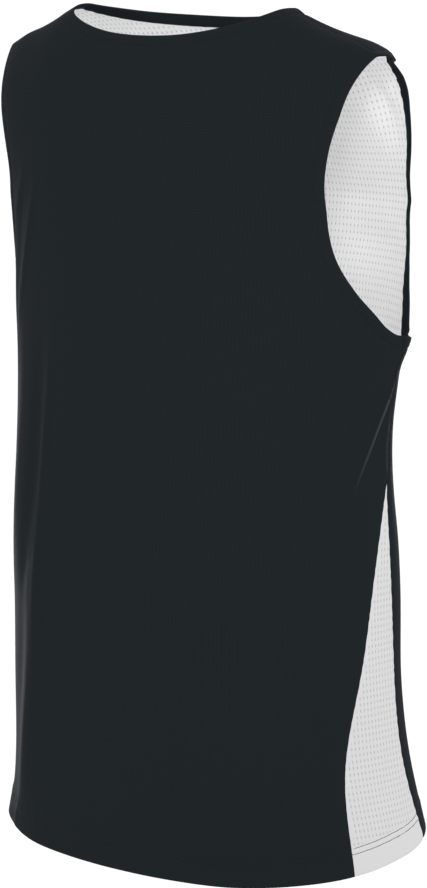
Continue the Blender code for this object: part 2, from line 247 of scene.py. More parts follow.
def place_on_form(half, across, height):
    """Angle and rise of the place that lies that far across at that height."""
    low = np.minimum(height, CHEST_HEIGHT)
    power = at_height(SECTIONS, "square_" + WORD[half], low) / ROUND
    part = np.clip(np.abs(across) / at_height(SECTIONS, "half_width", low), 0, 1)
    angle = np.sign(across) * np.arcsin(part ** power)
    up = np.clip((height - CHEST_HEIGHT) / (shoulder_line(across)[0] - CHEST_HEIGHT), 0, 1)
    climb = np.arcsin(up ** (1 / arch_power(half, across))) / RIGHT_ANGLE * ARCH_RISE
    rise = np.where(height < CHEST_HEIGHT, height - CHEST_HEIGHT, climb)
    return np.stack([angle, rise], axis=-1)


def outward(half, angle, rise):
    """Unit direction out of the worn form, from its slopes over a small turn and a small rise."""
    around = smooth_form(half, angle + PROBE, rise) - smooth_form(half, angle - PROBE, rise)
    upper = np.minimum(rise + PROBE, ARCH_RISE)
    up = smooth_form(half, angle, upper) - smooth_form(half, angle, upper - 2 * PROBE)
    return unit(half * np.cross(around, up))


print("centre back at the waist:", smooth_form(BACK, 0.0, WAIST - CHEST_HEIGHT).round(3))

# %% [markdown]
# ## Folds
#
# Cloth that hangs from two shoulders falls in long soft folds: drapes from the strap ends, rolls
# at the waist, flutes at the hem, and short drag lines beside a seam. Each is one row here: a
# curve through three stops, given as degrees from its centre line and height, how wide it is,
# and how far it stands out, or sinks where that is below nothing. The rows differ in length,
# depth and spacing, because even folds look pressed, and the sides that face away have their own.

# %% The large folds, as the frame has them
FOLDS = (
    ("name", "half", "top_degrees", "bottom_degrees", "top", "bottom", "width_degrees", "stands_out"),
    ("left shoulder blade", BACK, -62, -56, 0.00, -0.165, 22, 0.0074),
    ("left armpit hollow", BACK, -62, -62, -0.12, -0.29, 20, -0.0045),
    ("left back drape", BACK, -40, -58, -0.31, -0.57, 10, 0.0012),
    ("left hip swell", BACK, -54, -54, -0.54, -0.74, 12, 0.0022),
    ("left hem corner", BACK, -55, -56, -0.725, -0.835, 12, 0.0040),
    ("right underarm bulge", FRONT, 80, 82, -0.250, -0.320, 12, 0.0062),
    ("left back hem flute", BACK, -30, -34, -0.50, -0.95, 12, 0.0045),
    ("right back hem flute", BACK, 24, 30, -0.45, -0.95, 13, 0.0040),
    ("right waist pinch", FRONT, 66, 70, -0.29, -0.48, 15, -0.0035),
    ("right side roll", FRONT, 70, 66, -0.42, -0.60, 13, 0.0018),
    ("right hip roll", FRONT, 70, 70, -0.58, -0.80, 16, 0.0024),
    ("left waist roll", FRONT, -68, -64, -0.36, -0.58, 14, 0.0040),
    ("front right drape", FRONT, 22, 38, -0.26, -0.56, 12, 0.0045),
    ("front left hem flute", FRONT, -20, -28, -0.48, -0.95, 14, 0.0050),
    ("front right hem flute", FRONT, 30, 34, -0.52, -0.95, 12, 0.0040),
)


def large_folds(half, angle, height):
    """How far the large folds lift the cloth."""
    past_side = np.copysign(2 * RIGHT_ANGLE, angle) - angle
    lift = np.zeros_like(height)
    for _, fold_half, top_degrees, bottom_degrees, top, bottom, width, stands_out in FOLDS[1:]:
        seen = angle if fold_half == half else past_side
        down = np.clip((top - height) / (top - bottom), 0, 1)
        middle = np.radians(top_degrees + (bottom_degrees - top_degrees) * down)
        lift += stands_out * bell(seen - middle, math.radians(width)) * np.sin(math.pi * down) ** 2
    return lift


print("large folds:", len(FOLDS) - 1)

# %% The small folds, each a curve through three stops
CREASES = (
    ("name", "half", "degrees_1", "height_1", "degrees_2", "height_2", "degrees_3", "height_3",
     "width", "stands_out"),
    ("left arm drag", BACK, -37, -0.13, -42, -0.17, -50, -0.20, 0.005, 0.0012),
    ("left blade drag", BACK, -32, -0.15, -37, -0.21, -52, -0.31, 0.005, 0.0016),
    ("left blade trough", BACK, -38, -0.16, -45, -0.22, -56, -0.31, 0.007, -0.0014),
    ("left long drape", BACK, -25.5, -0.28, -27.5, -0.46, -31, -0.66, 0.006, 0.0030),
    ("left drape trough", BACK, -31, -0.28, -34, -0.42, -40, -0.54, 0.010, -0.0040),
    ("left drape lobe", BACK, -43, -0.24, -47, -0.40, -53, -0.54, 0.014, 0.0011),
    ("left hip corner", BACK, -31, -0.45, -33.5, -0.62, -43, -0.80, 0.016, 0.0044),
    ("left hem nick", BACK, -41, -0.735, -43, -0.755, -44, -0.775, 0.004, 0.0014),
    ("right side drag", BACK, 95.0, -0.292, 85.7, -0.352, 74.8, -0.418, 0.0024, 0.0023),
    ("right side drag trough", BACK, 83, -0.318, 79, -0.36, 70, -0.415, 0.006, -0.0012),
    ("right seam pucker", BACK, 91.0, -0.335, 89.3, -0.380, 90.8, -0.414, 0.0020, 0.0011),
    ("right arm swell", BACK, 80, -0.27, 76, -0.32, 68, -0.40, 0.014, 0.0014),
    ("right hip swell", BACK, 62, -0.44, 58, -0.53, 56, -0.64, 0.020, 0.0010),
    ("back middle drape", BACK, 8, -0.25, 4, -0.40, 10, -0.60, 0.030, 0.0008),
    ("back hem lift", BACK, -8, -0.66, -6, -0.72, -9, -0.79, 0.014, -0.0010),
    ("right strap valley", FRONT, 35, -0.046, 40, -0.078, 42, -0.128, 0.0080, 0.0018),
    ("right strap roll", FRONT, 22, -0.05, 33, -0.085, 34, -0.14, 0.010, -0.0020),
    ("right chest wave", FRONT, 14, -0.200, 32, -0.208, 48, -0.216, 0.012, 0.0020),
    ("left strap tuck", FRONT, -64, -0.045, -57, -0.09, -52, -0.13, 0.008, -0.0020),
    ("right chest drag", FRONT, 52, -0.24, 44, -0.30, 30, -0.35, 0.010, 0.0016),
    ("left chest drag", FRONT, -56, -0.25, -46, -0.29, -34, -0.36, 0.009, 0.0018),
    ("front middle drape", FRONT, 4, -0.30, -6, -0.46, -4, -0.62, 0.022, 0.0016),
    ("front left drape", FRONT, -30, -0.33, -38, -0.44, -42, -0.57, 0.012, 0.0020),
    ("front low drag", FRONT, 34, -0.60, 22, -0.67, 18, -0.74, 0.011, 0.0016),
    ("left side drag", FRONT, -84, -0.33, -76, -0.38, -64, -0.43, 0.006, 0.0017),
    ("left side dip", BACK, -82, -0.36, -76, -0.47, -72, -0.56, 0.012, -0.0014),
    ("left insert ripple", BACK, -82, -0.60, -84, -0.66, -80, -0.72, 0.010, 0.0010),
    ("right insert ripple", FRONT, 84, -0.56, 86, -0.63, 82, -0.72, 0.008, 0.0011),
)
print("small folds:", len(CREASES) - 1)

# %% Lay the small folds on the cloth
CREASE_STEPS, CREASE_REACH = 14, 3.0


def round_the_girth(half, angle):
    """Angle from the centre back all the way round to the centre front."""
    return angle if half == BACK else np.copysign(2 * RIGHT_ANGLE, angle) - angle


def crease_run(stops):
    """Points in radians and metres along the curve through a crease's three stops."""
    part = np.linspace(0, 1, CREASE_STEPS)[:, None]
    first, middle, last = (np.array([math.radians(stops[index]), stops[index + 1]]) for index in (0, 2, 4))
    bow = 2 * middle - (first + last) / 2
    return (1 - part) ** 2 * first + 2 * part * (1 - part) * bow + part ** 2 * last


def small_folds(half, angle, height, table=CREASES):
    """How far the creases of a table lift the cloth, each most at the middle of its length."""
    here = round_the_girth(half, angle)
    lift = np.zeros_like(height)
    for _, fold_half, *stops, width, stands_out in table[1:]:
        run = crease_run(stops)
        run_angle = round_the_girth(fold_half, run[:, 0])
        best = np.full(height.shape, np.inf)
        along = np.zeros(height.shape)
        for first in range(CREASE_STEPS - 1):
            turn = (here - run_angle[first] + math.pi) % (2 * math.pi) - math.pi
            place = np.stack([turn * GIRTH_PER_RADIAN, height - run[first, 1]], axis=-1)
            step = np.array([
                (run_angle[first + 1] - run_angle[first]) * GIRTH_PER_RADIAN,
                run[first + 1, 1] - run[first, 1],
            ])
            share = np.clip(place @ step / (step @ step), 0, 1)
            away = np.linalg.norm(place - share[..., None] * step, axis=-1)
            nearer = away < best
            best = np.where(nearer, away, best)
            along = np.where(nearer, (first + share) / (CREASE_STEPS - 1), along)
        reach = np.minimum(best / width, CREASE_REACH)
        lift += stands_out * np.exp(-reach * reach) * np.sin(math.pi * along)
    return lift


FOLD_SAMPLES = 400
level_round = np.linspace(0, RIGHT_ANGLE, FOLD_SAMPLES)
lifts = small_folds(BACK, level_round, np.full(FOLD_SAMPLES, WAIST)) * 1000
print("small folds of the right back at the waist, mm:", lifts.min().round(2), lifts.max().round(2))

# %% The unevenness that all hanging cloth has
WAVES = (
    ("turns_round", "waves_per_metre", "phase", "height"),
    (3, 3.1, 0.4, 0.0007),
    (5, 1.9, 2.1, 0.0006),
    (8, 4.6, 4.0, 0.00035),
    (11, 2.7, 1.2, 0.00030),
    (2, 6.3, 5.1, 0.00040),
)


def unevenness(half, angle, height):
    """How far slow waves, which are no folds yet, lift the cloth."""
    here = round_the_girth(half, angle)
    lift = np.zeros_like(height)
    for turns, waves, phase, size in WAVES[1:]:
        lift += size * np.sin(turns * here + phase) * np.cos(2 * math.pi * waves * height + phase)
    return lift


HELD_BY_SHOULDER = 0.035


def all_folds(half, angle, height, rise):
    """Every fold together, held flat by the shoulder seam."""
    lift = large_folds(half, angle, height) + small_folds(half, angle, height)
    lift = lift + unevenness(half, angle, height)
    return lift * smooth_step((ARCH_RISE - rise) / HELD_BY_SHOULDER)


def folded_form(half, angle, rise):
    """Points of the outside of the worn cloth, folds included."""
    smooth = smooth_form(half, angle, rise)
    lift = all_folds(half, angle, smooth[..., 2], rise)
    return smooth + outward(half, angle, rise) * lift[..., None]


print("waves in the cloth, mm:", [round(size * 1000, 2) for size in column(WAVES, "height")])

# %% [markdown]
# ## True cloth lengths
#
# A knit's rows and a mesh's holes keep their spacing however the cloth is bent, so the surface
# needs a map in real metres of cloth. It is measured on the form: the distance round from the
# centre line at each rise, and the distance up from the chest at each angle. A plain unwrap
# would also give a map, but its rows would run askew and its scale would change from piece to
# piece.

# %% Measure the cloth
LOWEST_RISE, ANGLE_STOPS, LOW_STOPS, ARCH_STOPS = -0.63, 91, 64, 45
TABLE_ANGLES = np.linspace(0, RIGHT_ANGLE, ANGLE_STOPS)
TABLE_RISES = np.concatenate([
    np.linspace(LOWEST_RISE, 0, LOW_STOPS),
    np.linspace(0, ARCH_RISE, ARCH_STOPS)[1:],
])


def measure_cloth(half):
    """Metres of cloth across and up to each stop of angle and rise."""
    grid = smooth_form(half, TABLE_ANGLES[:, None], TABLE_RISES[None, :])
    across, up = np.zeros(grid.shape[:2]), np.zeros(grid.shape[:2])
    across[1:] = np.cumsum(np.linalg.norm(np.diff(grid, axis=0), axis=-1), axis=0)
    up[:, 1:] = np.cumsum(np.linalg.norm(np.diff(grid, axis=1), axis=-1), axis=1)
    return across, up - up[:, TABLE_RISES == 0]


CLOTH_LENGTHS = {half: measure_cloth(half) for half in (BACK, FRONT)}


def share_of_step(stops, value):
    """The stop below a value, and how far the value is on the way to the next."""
    left = np.clip(np.searchsorted(stops, value) - 1, 0, len(stops) - 2)
    return left, np.clip((value - stops[left]) / (stops[left + 1] - stops[left]), 0, 1)


def look_up(table, angle, rise):
    """A measured length between the stops."""
    i, a = share_of_step(TABLE_ANGLES, np.abs(angle))
    j, b = share_of_step(TABLE_RISES, rise)
    low = table[i, j] * (1 - b) + table[i, j + 1] * b
    high = table[i + 1, j] * (1 - b) + table[i + 1, j + 1] * b
    return low * (1 - a) + high * a


def cloth_map(half, angle, rise):
    """Metres of cloth from the half's centre line and from the chest level."""
    across, up = CLOTH_LENGTHS[half]
    return np.stack([np.sign(angle) * look_up(across, angle, rise), look_up(up, angle, rise)], axis=-1)


for half in (BACK, FRONT):
    girth = 2 * cloth_map(half, RIGHT_ANGLE, UNDERARM_HEIGHT - CHEST_HEIGHT)[0]
    print(WORD[half], "half, cloth across under the arms:", round(float(girth), 3), "m")

# %% [markdown]
# ## Cutting the pieces
#
# Each half is one outline with its two insert seams drawn across it, so that the panel and the
# inserts share the points of their seam and meet as sewn pieces do. The seams are curves through
# the stops of the tables: the armhole from the underarm to the shoulder's tip, the neck from the
# neck point to the middle, and the hem from side to side. Each is cut into equal steps, and the
# left side is the right one mirrored.

# %% Steps along an edge
def flat(places):
    """Places as metres across and up, near enough to space points by."""
    return np.asarray(places, float) * [GIRTH_PER_RADIAN, 1.0]


def even_steps(curve, spacing):
    """The same curve, in equal steps of about the spacing."""
    lengths = np.linalg.norm(np.diff(flat(curve), axis=0), axis=1)
    travelled = np.concatenate([[0.0], np.cumsum(lengths)])
    stops = np.linspace(0, travelled[-1], max(1, round(travelled[-1] / spacing)) + 1)
    return np.stack([np.interp(stops, travelled, curve[:, axis]) for axis in (0, 1)], axis=-1)


def mirrored(edge):
    """A right edge turned into the left one, which runs the other way."""
    return edge[::-1] * [-1.0, 1.0]


level_edge = np.array([[0.0, 0.0], [RIGHT_ANGLE, 0.0]])
print("steps of a centimetre from the centre line to the side:", len(even_steps(level_edge, 0.01)) - 1)

# %% Where the seams run
FINE_STEPS = 240
FOOT_SEARCH, FOOT_STEPS = 0.6, 400


def hem_rise(half, angle):
    """The rise of the hem, which hangs lowest at the centre back."""
    return SIDE_HEM_HEIGHT - half * HEM_TILT * np.cos(angle) - CHEST_HEIGHT


def insert_edge_angle(half, rise):
    """The angle of the insert's seam at a rise."""
    degrees = at_height(INSERT_EDGES, "degrees_" + WORD[half], rise + CHEST_HEIGHT)
    return RIGHT_ANGLE - np.radians(degrees)


def armhole_curve(half):
    """The armhole seam from the underarm to the shoulder's tip, smooth in angle and height."""
    half_widths = [*column(ARMHOLE, "half_width_" + WORD[half]), SHOULDER_TIP_X]
    heights = [*column(ARMHOLE, "height"), SHOULDER_TIP_HEIGHT]
    angles = [place_on_form(half, *stop)[0] for stop in zip(half_widths, heights)]
    stops = np.column_stack([[RIGHT_ANGLE, *angles], [UNDERARM_HEIGHT, *heights]])
    knots = np.concatenate([[0.0], np.cumsum(np.linalg.norm(np.diff(flat(stops), axis=0), axis=1))])
    where = np.linspace(0, knots[-1], FINE_STEPS)
    angle = smooth_curve(knots, stops[:, 0], where, first_slope=-1 / GIRTH_PER_RADIAN)
    height = smooth_curve(knots, stops[:, 1], where, first_slope=0.0)
    across = -smooth_form(half, angle, np.minimum(height - CHEST_HEIGHT, 0))[:, 0]
    return np.stack([angle, place_on_form(half, across, height)[:, 1]], axis=-1)


def neck_curve(half):
    """The neck seam from the neck point to the centre line."""
    turn = np.linspace(RIGHT_ANGLE, 0, FINE_STEPS)
    drop = NECK_DROP[half] * np.cos(turn) ** NECK_ROUNDING[half]
    return place_on_form(half, NECK_HALF_WIDTH * np.sin(turn), -drop)


def insert_seam(half):
    """The right insert's seam from its foot on the hem to its top."""
    angles = np.linspace(RIGHT_ANGLE - FOOT_SEARCH, RIGHT_ANGLE, FOOT_STEPS)
    gap = angles - insert_edge_angle(half, hem_rise(half, angles))
    foot_angle = float(np.interp(0.0, gap, angles))
    foot = float(hem_rise(half, foot_angle))
    rises = np.linspace(foot, INSERT_TOP_HEIGHT - CHEST_HEIGHT, FINE_STEPS)
    seam = np.stack([insert_edge_angle(half, rises), rises], axis=-1)
    seam[0] = foot_angle, foot
    return seam


for half in (BACK, FRONT):
    print(WORD[half], "insert's foot, degrees from the centre:", np.degrees(insert_seam(half)[0, 0]).round(1))

# %% The outline of a half
HEM_CENTRE, FOOT, SIDE_HEM, INSERT_TOP, UNDERARM, SHOULDER_TIP, NECK_POINT, NECK_CENTRE = range(8)


def half_outline(half, spacing):
    """The outline from the hem's centre, right side first, its corners, and the insert's seam."""
    seam = insert_seam(half)
    hem = []
    for ends in ((0.0, seam[0, 0]), (seam[0, 0], RIGHT_ANGLE)):
        angles = np.linspace(*ends, FINE_STEPS)
        hem.append(np.stack([angles, hem_rise(half, angles)], axis=-1))
    side_stops = (SIDE_HEM_HEIGHT, INSERT_TOP_HEIGHT, UNDERARM_HEIGHT)
    side = [
        np.array([[RIGHT_ANGLE, stop - CHEST_HEIGHT] for stop in ends])
        for ends in zip(side_stops[:-1], side_stops[1:])
    ]
    tip = place_on_form(half, SHOULDER_TIP_X, SHOULDER_TIP_HEIGHT)
    neck_point = place_on_form(half, NECK_HALF_WIDTH, 0.0)
    curves = [*hem, *side, armhole_curve(half), np.array([tip, neck_point]), neck_curve(half)]
    edges = [even_steps(curve, spacing) for curve in curves]
    corners = np.cumsum([0] + [len(edge) - 1 for edge in edges])
    right = np.concatenate([edge[:-1] for edge in edges] + [edges[-1][-1:]])
    outline = np.concatenate([right, mirrored(right)[1:-1]])
    return outline, corners, even_steps(seam, spacing)


SEAM_STEP = 0.008
for half in (BACK, FRONT):
    outline, corners, seam = half_outline(half, SEAM_STEP)
    print(WORD[half], "outline points:", len(outline), " corners:", corners, " seam points:", len(seam))

# %% Distances, and what lies inside an outline
def nearest_on_edges(places, edges):
    """Distance from each place to the nearest straight edge, and how far along the run it lies."""
    best = np.full(len(places), np.inf)
    along = np.zeros(len(places))
    travelled = 0.0
    for start, end in edges:
        step = end - start
        length = math.sqrt(step @ step)
        share = np.clip((places - start) @ step / (length * length), 0, 1)
        away = places - start - share[:, None] * step
        squared = np.einsum("ij,ij->i", away, away)
        nearer = squared < best
        best[nearer] = squared[nearer]
        along[nearer] = travelled + share[nearer] * length
        travelled += length
    return np.sqrt(best), along


def run_edges(run):
    """The straight edges of a run of points."""
    return np.stack([run[:-1], run[1:]], axis=1)


def is_inside(places, outline):
    """Whether each place lies inside an outline, by counting the edges that it sees on one side."""
    crossings = np.zeros(len(places), int)
    for (x0, y0), (x1, y1) in zip(outline, np.roll(outline, -1, axis=0)):
        if y0 != y1:
            spans = (y0 > places[:, 1]) != (y1 > places[:, 1])
            crossings += spans & (x0 + (places[:, 1] - y0) * (x1 - x0) / (y1 - y0) > places[:, 0])
    return crossings % 2 == 1


def beside(run, distance):
    """Points at a distance on both sides of a run."""
    along = np.gradient(run, axis=0)
    across = unit(np.stack([-along[:, 1], along[:, 0]], axis=-1))
    return np.concatenate([run + across * distance, run - across * distance])


corners_of_square = np.array([(0.0, 0.0), (1.0, 0.0), (1.0, 1.0), (0.0, 1.0)])
print("inside a square:", is_inside(np.array([(0.5, 0.5), (1.5, 0.5)]), corners_of_square))

# %% [markdown]
# ## Points and triangles
#
# The outline is filled with an even field of points, set closer beside the seams, along the
# narrow creases and in rows up the hem, where stitches and turned edges need them. A
# triangulation that keeps the seam lines as edges joins them. A plain grid would be simpler to
# make, but its steps would show along every curved edge, and a sharp crease would come out as a
# row of teeth.

# %% Rows beside the seams and up the hem
EDGE_STEP = 0.004
HALF_GIRTH = RIGHT_ANGLE * GIRTH_PER_RADIAN
SEAM_ROWS, KEPT_SHARE = (0.0012, 0.0026, 0.0046), 0.93
HEM_ROWS = (0.0012, 0.003, 0.006, 0.010, 0.014, 0.018, 0.0195, 0.021, 0.023, 0.0245, 0.026, 0.029)
ROW_CLEARANCE = 0.0009


def hem_distance(half, flat_places):
    """Metres of cloth above the hem."""
    return flat_places[:, 1] - hem_rise(half, flat_places[:, 0] / GIRTH_PER_RADIAN)


def rows_beside(half, closed, runs, edges):
    """Rows of points along both sides of every seam."""
    for distance in SEAM_ROWS:
        for run in runs:
            rows = beside(run, distance)
            rows = rows[is_inside(rows, closed) & (hem_distance(half, rows) > HEM_ROWS[0] / 2)]
            away, _ = nearest_on_edges(rows, edges)
            yield rows[away > distance * KEPT_SHARE]


def rows_up_the_hem(half, closed, edges):
    """Rows of points up the hem, closest where its edge turns and its stitches lie."""
    steps = np.arange(-HALF_GIRTH, HALF_GIRTH, EDGE_STEP)
    for distance in HEM_ROWS:
        rows = np.stack([steps, hem_rise(half, steps / GIRTH_PER_RADIAN) + distance], axis=-1)
        away, _ = nearest_on_edges(rows, edges)
        yield rows[is_inside(rows, closed) & (away > ROW_CLEARANCE)]


print("rows beside each seam:", 2 * len(SEAM_ROWS), " rows up the hem:", len(HEM_ROWS))

# %% Rows along the narrow creases
NARROW_CREASE, CREASE_STEP, CREASE_FRAME = 0.0085, EDGE_STEP * 0.6, 0.0062
CREASE_ROWS, CREASE_ROW_GAP = (0.35, 0.85, 1.5), 0.0011
CLIMB_STOPS = 80
FIELD_ABOVE_HEM = 0.0335


def rise_at(half, angle, height):
    """The rise at which the form reaches a height, at each angle."""
    stops = np.linspace(0, ARCH_RISE, CLIMB_STOPS)
    heights = smooth_form(half, angle[:, None], stops[None])[..., 2]
    above = [np.interp(level, row, stops) for level, row in zip(height, heights)]
    return np.where(height < CHEST_HEIGHT, height - CHEST_HEIGHT, above)


def narrow_creases(half):
    """The narrow creases of a half, as (run on the flat cloth, width)."""
    for _, fold_half, *stops, width, _ in CREASES[1:]:
        if fold_half == half and width < NARROW_CREASE:
            angle, height = crease_run(stops).T
            run = flat(np.stack([angle, rise_at(half, angle, height)], axis=-1))
            length = np.linalg.norm(np.diff(run, axis=0), axis=1).sum()
            where = np.linspace(0, CREASE_STEPS - 1, int(length / CREASE_STEP) + 2)
            fine = [np.interp(where, range(CREASE_STEPS), run[:, axis]) for axis in (0, 1)]
            yield np.stack(fine, axis=-1), width


def rows_along_creases(half, closed, edges):
    """Rows of points along the narrow creases, no two of them too near each other."""
    kept = np.zeros((0, 2))
    for run, width in narrow_creases(half):
        for rows in (run, *(beside(run, width * share) for share in CREASE_ROWS)):
            away, _ = nearest_on_edges(rows, edges)
            free = (away > CREASE_FRAME) & (hem_distance(half, rows) > FIELD_ABOVE_HEM)
            rows = rows[free & is_inside(rows, closed)]
            if len(kept):
                gaps = np.linalg.norm(rows[:, None] - kept[None], axis=-1).min(axis=1)
                rows = rows[gaps > CREASE_ROW_GAP]
            kept = np.concatenate([kept, rows])
    return kept


for half in (BACK, FRONT):
    print(WORD[half], "narrow creases:", len(list(narrow_creases(half))))

# %% Fill the rest and join the points
FIELD_STEP = 0.006
FIELD_CLEARANCE = 0.0074
CUT_INSIDE, CUT_TOLERANCE = 1, 1e-6


def open_field(half, closed, edges):
    """An even field of points over the rest of the half."""
    pitch = FIELD_STEP * math.sqrt(3) / 2
    field = np.array([
        (across + (row % 2) * FIELD_STEP / 2, closed[:, 1].min() + row * pitch)
        for row in range(int(np.ptp(closed[:, 1]) / pitch) + 1)
        for across in np.arange(-HALF_GIRTH, HALF_GIRTH, FIELD_STEP)
    ])
    away, _ = nearest_on_edges(field, edges)
    clear = (away > FIELD_CLEARANCE) & (hem_distance(half, field) > FIELD_ABOVE_HEM)
    for run, width in narrow_creases(half):
        clear &= nearest_on_edges(field, run_edges(run))[0] > width * CREASE_ROWS[-1] + EDGE_STEP / 2
    return field[clear & is_inside(field, closed)]


def join_points(closed, seams, ends, found):
    """Triangles that keep the outline and the two seams as edges, and the points they use."""
    places = list(closed)
    links = [(corner, (corner + 1) % len(places)) for corner in range(len(places))]
    mirror_ends = [len(closed) - corner for corner in ends[::-1]]
    for run, (first, last) in zip(seams, (ends, mirror_ends)):
        chain = [first, *range(len(places), len(places) + len(run) - 2), last]
        places += list(run[1:-1])
        links += list(zip(chain[:-1], chain[1:]))
    places += list(np.concatenate(found))
    answer = delaunay_2d_cdt([Vector(place) for place in places], links, [], CUT_INSIDE, CUT_TOLERANCE)
    return np.array([places[origin[0]] for origin in answer[3]]), np.array(answer[2])


print("steps of the field:", FIELD_STEP * 1000, "mm")

# %% Cut both halves
def cut_half(half):
    """Places of a half as (angle, rise), and which triangles are panel and which are inserts."""
    outline, corners, seam = half_outline(half, EDGE_STEP)
    closed = flat(outline)
    upper = closed[corners[SIDE_HEM]:len(outline) - corners[SIDE_HEM] + 1]
    seams = [flat(seam), flat(mirrored(seam))]
    edges = np.concatenate([run_edges(run) for run in (upper, *seams)])
    found = [
        *rows_beside(half, closed, (upper, *seams), edges),
        *rows_up_the_hem(half, closed, edges),
        open_field(half, closed, edges),
        rows_along_creases(half, closed, edges),
    ]
    ends = (corners[FOOT], corners[INSERT_TOP])
    places, triangles = join_points(closed, seams, ends, found)
    middles = places[triangles].mean(axis=1)
    insert = np.concatenate([closed[ends[0]:ends[1] + 1], seams[0][1:-1][::-1]])
    in_right = is_inside(middles, insert)
    in_left = is_inside(middles * [-1.0, 1.0], insert)
    if half == FRONT:
        triangles = triangles[:, ::-1]
    chosen = {"panel": ~in_right & ~in_left, "right": in_right, "left": in_left}
    return places / [GIRTH_PER_RADIAN, 1.0], {name: triangles[here] for name, here in chosen.items()}


halves = {half: cut_half(half) for half in (BACK, FRONT)}
for half, (places, parts) in halves.items():
    counts = {name: len(faces) for name, faces in parts.items()}
    print(WORD[half], "points:", len(places), " triangles:", counts)

# %% [markdown]
# ## Seams and hem
#
# A seam pulls its two cloths down into a shallow ditch, and its thread gathers them a little, so
# that short dimples follow it. The hem is turned up and held by two rows of stitches side by
# side: the doubled cloth stands out a hair, each row bites a groove, and the cloth between them
# tunnels. These are small, but they are what shows that the jersey is sewn.

# %% The finished outside of the cloth
SEAM_DITCH, DITCH_WIDTH = 0.00055, 0.0020
GATHER_LENGTH, GATHER_HEIGHT, GATHER_WIDTH = 0.0125, 0.00022, 0.0070
GATHER_DRIFT, GATHER_DRIFT_RATE = 1.4, 0.27
HEM_DEPTH, HEM_STANDS_OUT, HEM_EASE = 0.0245, 0.00030, 0.0025
STITCH_ROWS = (0.0195, 0.0245)
GROOVE_DEPTH, GROOVE_WIDTH = 0.00035, 0.0009
TUNNEL_LENGTH, TUNNEL_HEIGHT, TUNNEL_REACH = 0.016, 0.00028, 0.0065
TUNNEL_DRIFT, TUNNEL_DRIFT_RATE, TUNNEL_SLANT = 1.9, 0.19, 160


def seam_runs():
    """Every seam as points in space, one run each."""
    ends = (INSERT_TOP, UNDERARM, SHOULDER_TIP, NECK_POINT, NECK_CENTRE)
    runs = []
    for half in (BACK, FRONT):
        outline, corners, seam = half_outline(half, SEAM_STEP)
        stretches = [outline[corners[start]:corners[end] + 1] for start, end in zip(ends[:-1], ends[1:])]
        for run in [*stretches, seam]:
            for places in (run, mirrored(run)):
                runs.append(smooth_form(half, places[:, 0], places[:, 1]))
    return runs


SEAM_EDGES = np.concatenate([run_edges(run) for run in seam_runs()])
print("straight edges along the seams:", len(SEAM_EDGES))


def in_hem(hem):
    """1 where the hem is turned up and the cloth is doubled, and 0 above it."""
    return smooth_step((HEM_DEPTH + HEM_EASE - hem) / (2 * HEM_EASE))


def finished_form(half, angle, rise):
    """Points on the outside of the sewn cloth, with how far each lies from a seam and the hem."""
    smooth = smooth_form(half, angle, rise)
    seam_distance, along = nearest_on_edges(smooth, SEAM_EDGES)
    hem = rise - hem_rise(half, angle)
    lift = all_folds(half, angle, smooth[:, 2], rise)
    lift -= SEAM_DITCH * bell(seam_distance, DITCH_WIDTH)
    turns = 2 * math.pi * along / GATHER_LENGTH
    gather = np.sin(turns + GATHER_DRIFT * np.sin(turns * GATHER_DRIFT_RATE))
    lift += GATHER_HEIGHT * gather * bell(seam_distance, GATHER_WIDTH)
    lift += HEM_STANDS_OUT * in_hem(hem)
    for row in STITCH_ROWS:
        lift -= GROOVE_DEPTH * bell(hem - row, GROOVE_WIDTH)
    turns = 2 * math.pi * angle * GIRTH_PER_RADIAN / TUNNEL_LENGTH
    ripple = np.sin(turns + TUNNEL_DRIFT * np.sin(turns * TUNNEL_DRIFT_RATE) + hem * TUNNEL_SLANT)
    lift += TUNNEL_HEIGHT * ripple * bell(hem - np.mean(STITCH_ROWS), TUNNEL_REACH)
    direction = outward(half, angle, rise)
    return smooth + direction * lift[:, None], direction, seam_distance, hem


# %% Join the halves into one worn cloth
POINT, CLOTH = slice(0, 3), slice(3, 5)
HEIGHT, UP, ROUND_SIDE, FROM_SEAM, FROM_HEM, ANGLE = 2, 4, 5, 6, 7, 8
PLACES_PER_METRE = 1e5
LINING_HEM_SHIFT = 0.003


def shifted_up(hem, hem_shift):
    """How far a place rises when the hem below it is cut shorter."""
    return hem_shift * np.clip(1 - hem / HEM_ROWS[-1], 0, 1)


def join_halves(hem_shift):
    """A row of values for each point of the whole cloth, with triangles by half and part."""
    rows, kept, offset = [], {}, 0
    for half, (places, parts) in halves.items():
        angle, rise = places[:, 0], places[:, 1]
        raised = rise + shifted_up(rise - hem_rise(half, angle), hem_shift)
        points, _, seam_distance, hem = finished_form(half, angle, raised)
        cloth = cloth_map(half, angle, raised)
        girth = cloth_map(half, np.full_like(raised, RIGHT_ANGLE), raised)[:, 0]
        round_side = half * (np.abs(cloth[:, 0]) - girth) * np.where(angle < 0, -1.0, 1.0)
        rows.append(np.column_stack([points, cloth, round_side, seam_distance, hem, angle]))
        for name, faces in parts.items():
            kept[half, name] = faces + offset
        offset += len(places)
    return np.concatenate(rows), kept


def shared_side(rows):
    """For each point, the first point of all that lies in the same place."""
    keys = np.round(rows[:, POINT] * PLACES_PER_METRE).astype(np.int64)
    _, first, back = np.unique(keys, axis=0, return_index=True, return_inverse=True)
    return first[back.ravel()]


def point_normals(points, triangles):
    """The direction out of the cloth at each point, from the triangles round it."""
    a, b, c = (points[triangles[:, corner]] for corner in range(3))
    face = np.cross(b - a, c - a)
    normals = np.zeros_like(points)
    for corner in range(3):
        np.add.at(normals, triangles[:, corner], face)
    return unit(normals)


